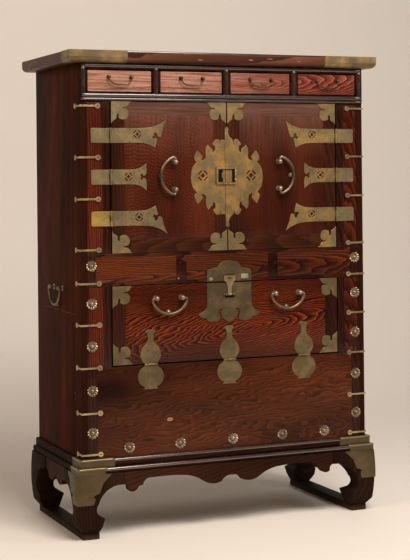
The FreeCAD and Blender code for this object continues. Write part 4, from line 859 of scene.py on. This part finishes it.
corner_runs = [[(0, 0), (56, 0)], [(56, 0), (51, 3.5), (48, 9), (44, 13)],
               [(44, 13), (39, 14.6), (34, 15), (30.5, 18)],
               [(30.5, 18), (35, 18.6), (40, 19), (44, 21.5)],
               [(44, 21.5), (47.5, 26), (48, 33), (46, 40), (40, 45.5), (33, 47), (27, 46)],
               [(27, 46), (22.5, 44), (20.5, 40), (21.3, 35.5), (19.5, 31)],
               [(19.5, 31), (16.2, 34), (15, 39), (15.2, 44)],
               [(15.2, 44), (11, 47.5), (5, 51.5), (0, 57)], [(0, 57), (0, 0)]]
corner_line = flowing(corner_runs)
long_runs = [[(4.2, -19), (74, -19)],
             [(74, -19), (92, -20.3), (105, -23.5), (115, -28), (123, -32.5)],
             [(123, -32.5), (126, -22), (128, -15), (129, -9)],
             [(129, -9), (124.5, -6.5), (118, -8.5), (115, -3), (120, 0), (120, 5), (124.5, 8),
              (128.5, 3), (129.5, -3)],
             [(129.5, -3), (137, -3.5), (141, 1), (143, 9), (146, 20), (149.5, 30), (155.5, 42)],
             [(155.5, 42), (143, 33.5), (128, 26.5), (112, 22), (92, 19.8), (70, 19)],
             [(70, 19), (4.2, 19)], [(4.2, 19), (4.2, -19)]]
middle_runs = [[(4.2, -19), (52, -19)],
               [(52, -19), (68, -20), (79, -23), (88, -27.5), (98, -35.5)],
               [(98, -35.5), (98, -27), (98.5, -18), (97.5, -9), (94.5, -4)],
               [(94.5, -4), (89, -3), (86, -8), (81.5, -5), (83, 0), (81.5, 5), (86, 8), (89, 3),
                (94.5, 4)],
               [(94.5, 4), (97.5, 9), (98.5, 18), (98, 27), (98, 35.5)],
               [(98, 35.5), (88, 27.5), (79, 23), (68, 20), (52, 19)],
               [(52, 19), (4.2, 19)], [(4.2, 19), (4.2, -19)]]
hinge_x, barrel_y, barrel = 0.3275, front_y - 0.0034, 0.003
strap_levels = (1.0315, 0.9245, 0.8175)


def knuckle(side, low, high, web):
    """A knuckle of a strap hinge's barrel, and the web that joins it to its plate."""
    return [straight((side * hinge_x, barrel_y, low), (side * hinge_x, barrel_y, high), barrel),
            side_plank(side, hinge_x, hinge_x + web, (plate_y, front_y), (low, high), "X",
                       0.0003)]


def strap(side, level, index):
    """One strap leaf: its plate, its middle knuckle with the web behind it, and two columns
    of nails."""
    centre, reach, raised = ((1, 73.5, 3.5), (1, 48.5, 0.5), (-1, 76.5, 2.5))[index]
    line = flowing(middle_runs if index == 1 else long_runs)
    outline = set_at(line, side * hinge_x, level, -side, centre)
    parts = [sheet([outline] + lozenge_holes(side * (hinge_x - reach * mm),
                                             level + raised * mm, 13.0))]
    parts += knuckle(side, level - 0.0061, level + 0.0061, -0.0052)
    return parts + nails(side * hinge_x, level, ((12, -13), (12, 13), (22, -13), (22, 13)),
                         0.0017, side=-side)


def corner(x, z, side, lift):
    """A corner plate with its four nails; its square corner is at the given place."""
    return [sheet([set_at(corner_line, x, z, side, lift)])] + nails(
        x, z, ((6, 6), (42, 6), (6, 45), (36, 30)), side=side, lift=lift)


def dots(places, radius, foot):
    """Punched dots: low discs of a dark finish, a few sides each."""
    return [dome(x, z, radius, 0.0002, foot, 8) for x, z in places]


# A matt black for the punched dots, and for thin sheets that paint the shadow in the lock's
# openings and by the hasp.
black_iron = bpy.data.materials.new("black_iron")
black_iron.use_nodes = True
black_shader = black_iron.node_tree.nodes["Principled BSDF"]
black_shader.inputs["Base Color"].default_value = linear("140e09")
black_shader.inputs["Roughness"].default_value = 0.75
black_shader.inputs["Specular IOR Level"].default_value = 0.1
strap_dots = [(8, 15.5), (8, -15.5), (17, 0), (30, 15.5), (30, -15.5), (40, 8), (40, -8),
              (52, 15.5), (52, -15.5)]
long_dots = strap_dots + [(62, 10), (62, -8), (88, 12), (88, -12), (100, 14), (104, -14),
                          (118, 20), (118, -20), (132, 22), (140, 14), (145, 30)]
middle_dots = strap_dots[:7] + [(64, 12), (64, -12), (78, 14), (78, -14), (91, 22), (91, -22)]
for side, name in ((-1, "left_door"), (1, "right_door")):
    low, high = node_corners(name + "_board")
    parts = []
    for index, level in enumerate(strap_levels):
        parts += strap(side, level, index)
    for x, inner in ((low[0], 1), (high[0], -1)):
        for z, lift in ((low[2], 1), (high[2], -1)):
            parts += corner(x, z, inner, lift)
    fit(name + "_sheets", joined(parts), strap_brass if side < 0 else rubbed_strap_brass, name,
        "aged_brass", name + "_plates")
    places = [(side * (hinge_x - u * mm), level + v * mm * (-1 if index == 2 else 1))
              for index, level in enumerate(strap_levels)
              for u, v in (middle_dots if index == 1 else long_dots)]
    fit(name + "_dots", joined(dots(places, 0.0011, plate_y)), black_iron, name, "dull_brass")


def stile_leaf(side, level):
    """The stile's leaf of a strap hinge: a plate with two rounded corners and four nails, and
    the knuckles at both ends of the barrel."""
    line = flowing([[(4.2, -19), (49.5, -19)], [(49.5, -19), (52.3, -17.8), (53.5, -15)],
                    [(53.5, -15), (53.5, 15)], [(53.5, 15), (52.3, 17.8), (49.5, 19)],
                    [(49.5, 19), (4.2, 19)], [(4.2, 19), (4.2, -19)]])
    parts = [sheet([set_at(line, side * hinge_x, level, side)])]
    for lift in (-1, 1):
        low, high = sorted((level + lift * 0.0065, level + lift * 0.019))
        parts += knuckle(side, low, high, 0.0052)
        parts += nails(side * hinge_x, level, ((10, 13), (47.5, 13)), 0.0017, side=side,
                       lift=lift)
    return parts


bright_brass = brass("bright_brass", "c4ab5e", "a98e48", "6b5733", clear=0.38)
parts = [part for side in (-1, 1) for level in strap_levels for part in stile_leaf(side, level)
         if (side, level) != (-1, strap_levels[2])]
fit("stile_leaves", joined(parts), strap_brass, "root", "aged_brass", "door_frame_leaves")
fit("rubbed_stile_leaf", joined(stile_leaf(-1, strap_levels[2])), bright_brass, "root",
    "aged_brass")
places = [(side * (hinge_x + u * mm), level + v * mm) for side in (-1, 1)
          for level in strap_levels
          for u, v in ((8, 9), (8, -9), (16, 14), (16, -14), (46, 14.5), (46, -14.5))]
places += [(-0.3365 - 0.0045 * step, 0.8230 - 0.0026 * step) for step in range(4)]
fit("stile_leaf_dots", joined(dots(places, 0.0011, plate_y)), black_iron, "root", "dull_brass")

# Round lock plate: one quarter's outline turned about its middle, cut at the seam between
# the doors. A black sheet under the square ring paints the shadow there, with a brass staple
# plate in it.
lock_runs = [[(0, 134.9), (6, 127)],
             [(6, 127), (3.5, 120), (8, 108), (16, 100), (19, 94), (18.5, 88)],
             [(18.5, 88), (20.5, 93), (21, 98)], [(21, 98), (30, 100.5), (38, 93), (42, 86)],
             [(42, 86), (36, 83), (35, 76), (37, 68), (42, 66)],
             [(42, 66), (42, 73), (48, 78), (55, 86)],
             [(55, 86), (61, 77), (62, 63), (62, 51), (67, 46), (73, 44), (74, 46)],
             [(74, 46), (71, 54), (77, 62), (85.5, 71)],
             [(85.5, 71), (91.5, 61), (94.5, 52), (94.5, 46)],
             [(94.5, 46), (90.5, 42), (86.5, 43)], [(86.5, 43), (100.5, 24), (105, 0)]]
quarter = flowing(lock_runs)
lock_z, seam = 0.922, 5.5
lock_brass = brass("lock_brass", "b88c4c", "84724f", "54462f")
ring_brass = brass("ring_brass", "d6bd80", "b39a62", "5e4f34", rough=(0.22, 0.4), metal=0.85)
soften("hasp_ring", 0.0004, ring_brass, 1)


def lock_half(side):
    """The part of the round plate on one side of the seam, each point (x, z) in metres."""
    half_line = np.concatenate([quarter, [(105.0, 0.0)], quarter[::-1] * [1, -1]])
    if side < 0:
        kept = half_line[(np.abs(half_line[:, 1]) < 99.9) & (half_line[:, 0] > seam + 0.8)]
        ends = np.array([[seam + 0.8, kept[0, 1]]]), np.array([[seam + 0.8, kept[-1, 1]]])
        return set_at(np.concatenate([ends[0], kept, ends[1]]), 0, lock_z, -1)
    tip = np.array([[-seam, -127.7], [-seam, 127.7]])
    return set_at(np.concatenate([half_line, tip]), 0, lock_z)


ring_z = 0.9255
pivot_ball = 0.0044


def ball(x, y, z, radius, count=12):
    """A round ball: circles whose width follows a half turn from pole to pole along Y."""
    turn = np.linspace(0.2, np.pi - 0.2, 7)
    angle = np.linspace(0, 2 * np.pi, count, endpoint=False)
    across = radius * np.sin(turn)[:, None]
    return capped(np.stack([x + across * np.cos(angle),
                            np.repeat((y + radius * np.cos(turn))[:, None], count, 1),
                            z + across * np.sin(angle)], -1))


def upright_box(x0, x1, z0, z1, back, high, rounding=0.0003):
    """A flat block on the front, from its edges, its back's depth and its height."""
    return plank((x0, back - high, z0), (x1, back, z1), "X", rounding)


right_parts = [sheet([lock_half(1)] + lozenge_holes(0.070, 0.926, 17.0))]
left_parts = [sheet([lock_half(-1)] + lozenge_holes(-0.070, 0.926, 17.0))]
for lift in (-1, 1):
    right_parts.append(ball(0.023, front_y - 0.0046, ring_z + lift * 0.0105, pivot_ball))
right_meets, left_meets = -0.0052, -0.0066
staple_levels = (ring_z - 0.0165, ring_z + 0.0165)
shade_sheet_levels = (ring_z - 0.0185, ring_z + 0.0185)
right_parts.append(upright_box(right_meets, 0.0135, *staple_levels, plate_y, 0.0012))
left_parts.append(upright_box(-0.0135, left_meets, *staple_levels, plate_y, 0.0012))
left_parts.append(plank((-0.018, front_y - 0.0069, ring_z - 0.007),
                        (-0.014, plate_y, ring_z + 0.007), "Z", 0.0006))
lock_spots = ((30, 72), (52, 52), (24, 50), (60, 26), (60, -26), (30, -72), (52, -52),
              (24, -50), (92, 20), (92, -20), (12, 82), (12, -82))
right_parts += nails(0, lock_z, lock_spots, high=0.0007)
left_parts += nails(0, lock_z, lock_spots, high=0.0007, side=-1)
fit("right_door_lock", joined(right_parts), lock_brass, "right_door", "lock_brass",
    "right_lock_plate")
fit("left_door_lock", joined(left_parts), lock_brass, "left_door", "lock_brass",
    "left_lock_plate")
# Black sheets round the staple paint the shadow inside the square ring.
fit("right_door_window", upright_box(right_meets, 0.0225, *shade_sheet_levels, plate_y, 0.0004,
                                     0.0001), black_iron, "right_door", "dull_brass")
fit("left_door_window", upright_box(-0.0285, left_meets, *shade_sheet_levels, plate_y, 0.0004,
                                    0.0001), black_iron, "left_door", "dull_brass")

# Bars, caps and mounts: thicker brass, bent or cast, whose packed form stays as it is but for
# its rounded edges. The hasp, pins and straps are rubbed bright, and the mounts on the
# stand's corners are dark, with a round bar along each upper edge.
bar_brass = brass("bar_brass", "cfb88a", "a5906a", "564831", rough=(0.25, 0.45), metal=0.85)
cap_brass = brass("cap_brass", "a88c60", "7c6a48", "4e412c")
mount_brass = brass("mount_brass", "64563c", "594c33", "483c29")
for node in ("flap_hasp", "hinge_pins", "elbow_straps"):
    soften(node, 0.0004, bar_brass, 1)
soften("top_corner_caps", 0.0004, cap_brass, 1)
soften("stand_corner_mounts", 0.0009, mount_brass, 1)
edge_brass = brass("mount_edge_brass", "958869", "786c51", "453c2c", rough=(0.28, 0.42))
parts, edge = [], 0.0034
for outer, inner, front, back, top in ((0.4195, 0.3265, -0.1972, -0.1332, 0.2055),
                                       (0.4265, 0.3475, -0.2042, -0.1402, 0.1845)):
    for side in (-1, 1):
        bend = (side * (outer - 0.0012), front + 0.0012, top - 0.0030)
        parts.append(straight(bend, (side * (inner + edge), bend[1], bend[2]), edge, count=10))
        parts.append(straight(bend, (bend[0], back - edge, bend[2]), edge, count=10))
fit("stand_mount_edges", joined(parts), edge_brass, "root", "dull_brass")

# Flap fittings: vase leaves over the hinges, corner plates, and the lock's flared plate with
# its two curled slots below a domed plate on the rail.
plate_brass = brass("plate_brass", "887552", "6b5c40", "433828")
dull_brass = brass("dull_brass", "766446", "5a4d36", "3a3025")
soften("gourd_lower_leaves", 0.0004, plate_brass, 1)
vase = [[(17.5, 3.0), (20.5, 6), (25, 12.5), (28, 19), (28.5, 26), (26.6, 35), (22.5, 44),
         (16, 50.5), (11.5, 55), (8.8, 60), (7.8, 67), (8.2, 76), (9.8, 80.5), (12.5, 82.6),
         (15.5, 83.2)], [(15.5, 83.2), (12.5, 87), (7, 89.2), (0, 90)]]
vase_line = mirrored(vase)
flap_axis_z = 0.438
parts = []
for middle in (-0.2225, 0.0015, 0.2225):
    parts.append(sheet([set_at(vase_line, middle, flap_axis_z)]))
    parts.append(straight((middle - 0.0058, barrel_y, flap_axis_z),
                          (middle + 0.0058, barrel_y, flap_axis_z), barrel))
    parts.append(plank((middle - 0.0058, plate_y, flap_axis_z),
                       (middle + 0.0058, front_y, flap_axis_z + 0.006), "X", 0.0003))
    parts += nails(middle, flap_axis_z, ((-13, 9), (0, 13), (13, 9), (-20, 24), (20, 24)),
                   0.0014, 0.0007)
flap_low, flap_high = node_corners("flap_board")
for x, inner in ((flap_low[0], 1), (flap_high[0], -1)):
    for z, lift in ((flap_low[2], 1), (flap_high[2], -1)):
        parts += corner(x, z, inner, lift)
fit("flap_sheets", joined(parts), plate_brass, "flap", "aged_brass", "flap_plates")

flare = [[(-64.5, 0), (-64.5, -54)],
         [(-64.5, -54), (-66, -62), (-71, -69), (-79, -75), (-90, -80)],
         [(-90, -80), (-86, -85.5), (-79, -89.5), (-73, -91.5), (-67.5, -90)],
         [(-67.5, -90), (-65.5, -95), (-61, -99.5), (-52, -101.5), (-40, -101.5), (-32, -99.5),
          (-26, -94)],
         [(-26, -94), (-28, -87), (-30, -79), (-28.5, -72.5), (-23.5, -68), (-16, -67.5)],
         [(-16, -67.5), (-21.5, -71), (-24.3, -75.5), (-24.5, -81), (-21.5, -88), (-16, -95),
          (-8, -101), (0, -105)]]
lock_x, flap_lock_top, rail_lock_foot = 0.003, 0.641, 0.6457
pivot_z, pivot_y = 0.611, front_y - 0.0047
parts = [sheet([set_at(mirrored(flare), lock_x, flap_lock_top)])]
for side in (-1, 1):
    parts.append(ball(lock_x + side * 0.0106, pivot_y, pivot_z, 0.0042))
    parts.append(ball(lock_x + side * 0.016, pivot_y, pivot_z, 0.0028))
    parts += nails(lock_x, flap_lock_top,
                   ((55, -10), (55, -34), (56, -60), (40, -93), (12, -92)), side=side)
parts.append(straight((lock_x - 0.016, pivot_y, pivot_z), (lock_x + 0.016, pivot_y, pivot_z),
                      0.0017))
fit("flap_lock_sheet", joined(parts), dull_brass, "flap", "dull_brass", "flap_lock_plate")
# A black sheet under the hasp's foot paints the shadow there.
fit("flap_lock_pocket", upright_box(lock_x - 0.013, lock_x + 0.015, 0.6015, 0.6125, plate_y,
                                    0.0003, 0.0001), black_iron, "flap", "dull_brass")
arch = [[(-64.5, 0), (-64.5, 24)],
        [(-64.5, 24), (-63, 28.5), (-57, 32), (-45, 34.8), (-34.5, 36.5)],
        [(-34.5, 36.5), (-31, 43), (-23, 49.7), (-12, 53.6), (0, 54.8)]]
parts = [sheet([set_at(mirrored(arch), lock_x, rail_lock_foot)]),
         plank((lock_x - 0.004, front_y - 0.0065, 0.6526), (lock_x + 0.004, plate_y, 0.6554),
               "X", 0.0005)]
parts += nails(lock_x, rail_lock_foot, ((-56, 7), (56, 7), (-50, 26), (50, 26), (0, 44)))
fit("rail_lock_sheet", joined(parts), dull_brass, "root", "dull_brass", "rail_lock_plate")
# A black strip above the hasp paints the dark shadow line there.
fit("rail_lock_slot", upright_box(lock_x - 0.0165, lock_x + 0.0165, 0.6615, 0.6633, plate_y,
                                  0.0003, 0.0001), black_iron, "root", "dull_brass")


def flake(run, x, z, **size):
    """A thin spot on the front: one smooth closed run in millimetres, set at a place."""
    return sheet([set_at(flowing([run]), x, z)], **size)


flake_size = {"thick": 0.0003, "edge": 0.0002, "slope": 0.0001}
# Two pale flakes on the rail plate beside the seam are painted highlights.
glint_brass = brass("rubbed_brass", "cdc2aa", "a89c80", "7c6e54", clear=0.36, rough=(0.3, 0.42))
right_spot = [(-10, -5), (-10.5, 2), (-9, 6), (0, 6.5), (9, 6), (10, 2), (10, -5), (0, -6),
              (-10, -5)]
left_spot = [(-4, -4), (-4.5, 2), (0, 5), (4, 3), (5, -3), (-4, -4)]
fit("rail_lock_rubbed", joined([
    flake(spot, x, z, back=plate_y, thick=0.0002, edge=0.0001, slope=0.0001)
    for spot, x, z in ((right_spot, 0.048, 0.6575), (left_spot, -0.0505, 0.6525))]),
    glint_brass, "root", "dull_brass")

# Marks of use on the wood: a pale plug low on the wide panel, a chip on the middle rail,
# scratches on the left side board and bare chips along the top board's front edge.
pale_wood = wood("pale_plug", tones(soft_steps, "8a5a40 b07a5c c89276"), "X", (0.0, 0.1, 0.2),
                 ring=0.004, coat=0.0, shine=(0.5, 0.7))
plug_run = [(-9, 0), (-6, 4), (0, 5.2), (6, 4), (9, 0), (6, -3.2), (0, -4), (-6, -3.2), (-9, 0)]
chip_run = [(-2.5, 0), (0, 3.4), (2.6, 0.4), (0.4, -3), (-2.5, 0)]
fit("panel_plug", flake(plug_run, -0.170, 0.291, **flake_size), pale_wood, "root", "figured_elm")
fit("rail_chip", flake(chip_run, -0.142, 0.658, **flake_size), pale_wood, "root", "figured_elm")

scratch_wood = wood("side_scratch", tones(soft_steps, "5c3a24 74503a 8a6850"), "Y",
                    (0.3, 0.1, 0.2), ring=0.004, coat=0.0, shine=(0.5, 0.7))
fit("side_scratches", joined([
    plank((-half_case - 0.0002, y0, z), (-half_case + 0.0004, y1, z + high), "Y", 0.0001)
    for y0, y1, z, high in ((-0.150, -0.02, 0.571, 0.0011), (-0.07, 0.13, 0.5735, 0.0009),
                            (-0.135, -0.129, 0.365, 0.006), (-0.137, -0.1335, 0.352, 0.004))]),
    scratch_wood, "root", "side_elm")
top_front = float(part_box("top_board")[0][1])
fit("top_chips", joined([
    flake([(-wide, 0), (-0.4 * wide, high), (0.5 * wide, 0.8 * high), (wide, 0),
           (0.3 * wide, -high), (-wide, 0)], x, z, back=top_front + 0.0006, thick=0.0005,
          edge=0.0002, slope=0.0002)
    for x, z, wide, high in ((-0.085, 1.229, 9.0, 1.4), (0.062, 1.232, 7.0, 1.6),
                             (0.118, 1.236, 11.0, 1.2), (0.205, 1.231, 5.0, 1.1))]),
    pale_wood, "root", "side_elm")

# Bails: bent brass bars that swell towards the middle, each about its own pivot line, with
# round heads over their posts. The drawers have small thin ones of the same kind.


def bail_path(half, corner_radius, drop, end):
    """A C in two dimensions: straight ends, a quarter turn at each corner and a wide arc
    between them whose radius follows from the half width and the drop."""
    side_reach, deep = half - corner_radius, drop - corner_radius
    big = (side_reach ** 2 + deep ** 2 - corner_radius ** 2) / (2 * (deep - corner_radius))
    middle = big - drop
    low_turn = math.atan2(-corner_radius - middle, -side_reach) + 2 * math.pi
    corner_turn = np.linspace(math.pi / 2, low_turn, 9)
    wide_turn = np.linspace(low_turn, 3 * math.pi / 2, 14)
    left = np.concatenate([
        np.stack([np.linspace(-end, -side_reach, 5)[:-1], np.zeros(4)], -1),
        np.stack([-side_reach + corner_radius * np.cos(corner_turn),
                  -corner_radius + corner_radius * np.sin(corner_turn)], -1)[:-1],
        np.stack([big * np.cos(wide_turn), middle + big * np.sin(wide_turn)], -1)])
    return np.concatenate([left, left[-2::-1] * [-1, 1]])


def bail(centre, across, down, drop, thick, thin=0.0023):
    """A large bail: its path carried by two directions, and a radius that rises from the ends
    to the middle as the sine of the share along it."""
    flat = bail_path(0.0485, 0.006, drop, 0.031)
    path = np.array(centre) + flat[:, :1] * np.array(across) - flat[:, 1:] * np.array(down)
    share = np.linspace(0, np.pi, len(path))
    return round_bar(path, thin + (thick - thin) * np.sin(share) ** 0.8, 14)


bail_brass = brass("bail_brass", "8c7f66", "665b48", "2e281f", rough=(0.28, 0.42), relief=0.1)
post_brass = brass("post_brass", "a3967c", "80745e", "3e372c", rough=(0.24, 0.36), metal=0.7,
                   relief=0.1)
small_brass = brass("drawer_bail_brass", "6f5f45", "4c402d", "1e1812", rough=(0.26, 0.4),
                    relief=0.1)
for node in list(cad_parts):
    if node.endswith("_posts"):
        soften(node, 0.0003, small_brass if node.startswith("drawer") else post_brass, 1)
bail_y, side_bail_x = front_y - 0.01205, 0.422
door_bail_x, door_bail_z, flap_bail_x, flap_bail_z = 0.1515, 0.9265, 0.1715, 0.608
post_apart = 0.036
for name, centre, across, down, drop in (
        ("left_door_bail", (-door_bail_x, bail_y, door_bail_z), (0, 0, 1), (-1, 0, 0), 0.041),
        ("right_door_bail", (door_bail_x, bail_y, door_bail_z), (0, 0, 1), (1, 0, 0), 0.041),
        ("flap_bail_left", (-flap_bail_x, bail_y, flap_bail_z), (1, 0, 0), (0, 0, -1), 0.041),
        ("flap_bail_right", (flap_bail_x, bail_y, flap_bail_z), (1, 0, 0), (0, 0, -1), 0.041),
        ("side_bail_left", (-side_bail_x, 0.00225, 0.633), (0, 1, 0), (0, 0, -1), 0.046),
        ("side_bail_right", (side_bail_x, 0.00225, 0.633), (0, 1, 0), (0, 0, -1), 0.046)):
    thick = 0.0030 if name.startswith("side") else 0.0040
    fit(name + "_bar", bail(centre, across, down, drop, thick), bail_brass, name,
        "dull_brass", name)


for body, heads, rests in (
        ("left_door", [(-door_bail_x, door_bail_z + lift * post_apart) for lift in (-1, 1)],
         [(-0.1895, door_bail_z)]),
        ("right_door", [(door_bail_x, door_bail_z + lift * post_apart) for lift in (-1, 1)],
         [(0.1895, door_bail_z)]),
        ("flap", [(side * flap_bail_x + end * post_apart, flap_bail_z) for side in (-1, 1)
                  for end in (-1, 1)], [(-flap_bail_x, 0.5705), (flap_bail_x, 0.5705)])):
    parts = [ball(x, bail_y, z, 0.0071) for x, z in heads]
    parts += [dome(x, z, 0.0072, 0.0058, front_y) for x, z in rests]
    fit(body + "_post_heads", joined(parts), post_brass, body, "dull_brass")


small_path = mirrored([[(-30, 0), (-31.8, -3), (-29.8, -8), (-25, -13.5), (-18, -17.5),
                        (-9, -19.3), (0, -19.6)]])
small_share = np.sin(np.linspace(0, np.pi, len(small_path)))
small_y = front_y - 0.00925
for index, middle in enumerate((-0.30075, -0.10025, 0.10025, 0.30075), 1):
    line = set_at(small_path, middle, 1.182)
    path = np.stack([line[:, 0], np.full(len(line), small_y), line[:, 1]], -1)
    name = "drawer_%d_bail" % index
    fit(name + "_bar", round_bar(path, 0.0014 + 0.0008 * small_share, 10), small_brass, name,
        "dull_brass", name)

# Flower nails: cast brass heads with eleven petals round a domed eye, driven in a row up each
# stile and along the foot of the front. Their grooves sink between raised ridges.


def flower(x, z, radius=0.0153, petals=11):
    """A flower nail: rings of points round its middle, on which every second point lies lower
    and nearer in, so that each petal is a ridge, and a domed eye over them."""
    angle = np.linspace(0, 2 * np.pi, 2 * petals, endpoint=False)
    groove = np.arange(2 * petals) % 2
    rings = [(1.0, 0.0, 0.13), (1.0, 1.4, 0.13), (0.88, 3.5, 0.06), (0.64, 2.4, 0.0),
             (0.50, 0.4, 0.0)]
    points = [np.stack([x + radius * share * (1 - pull * groove) * np.cos(angle),
                        front_y - high * mm * (1 - 0.85 * groove * (high > 1.5)),
                        z + radius * share * (1 - pull * groove) * np.sin(angle)], -1)
              for share, high, pull in rings]
    for share, high in ((0.37, 2.8), (0.25, 5.6), (0.04, 6.9)):
        points.append(np.stack([x + radius * share * np.cos(angle),
                                np.full(2 * petals, front_y - high * mm),
                                z + radius * share * np.sin(angle)], -1))
    return capped(np.array(points))


flower_brass = brass("flower_brass", "9c8873", "77664f", "281f18", rough=(0.28, 0.45))
flower_places = [(side * 0.382, level) for side in (-1, 1)
                 for level in (0.2705, 0.3780, 0.4914, 0.6000, 0.6970)]
flower_places += [(x, 0.227) for x in (-0.2831, -0.1410, 0.0100, 0.1560, 0.2831)]
fit("flower_nails_cast", joined([flower(x, z) for x, z in flower_places]), flower_brass, "root",
    "dull_brass", "flower_nails")
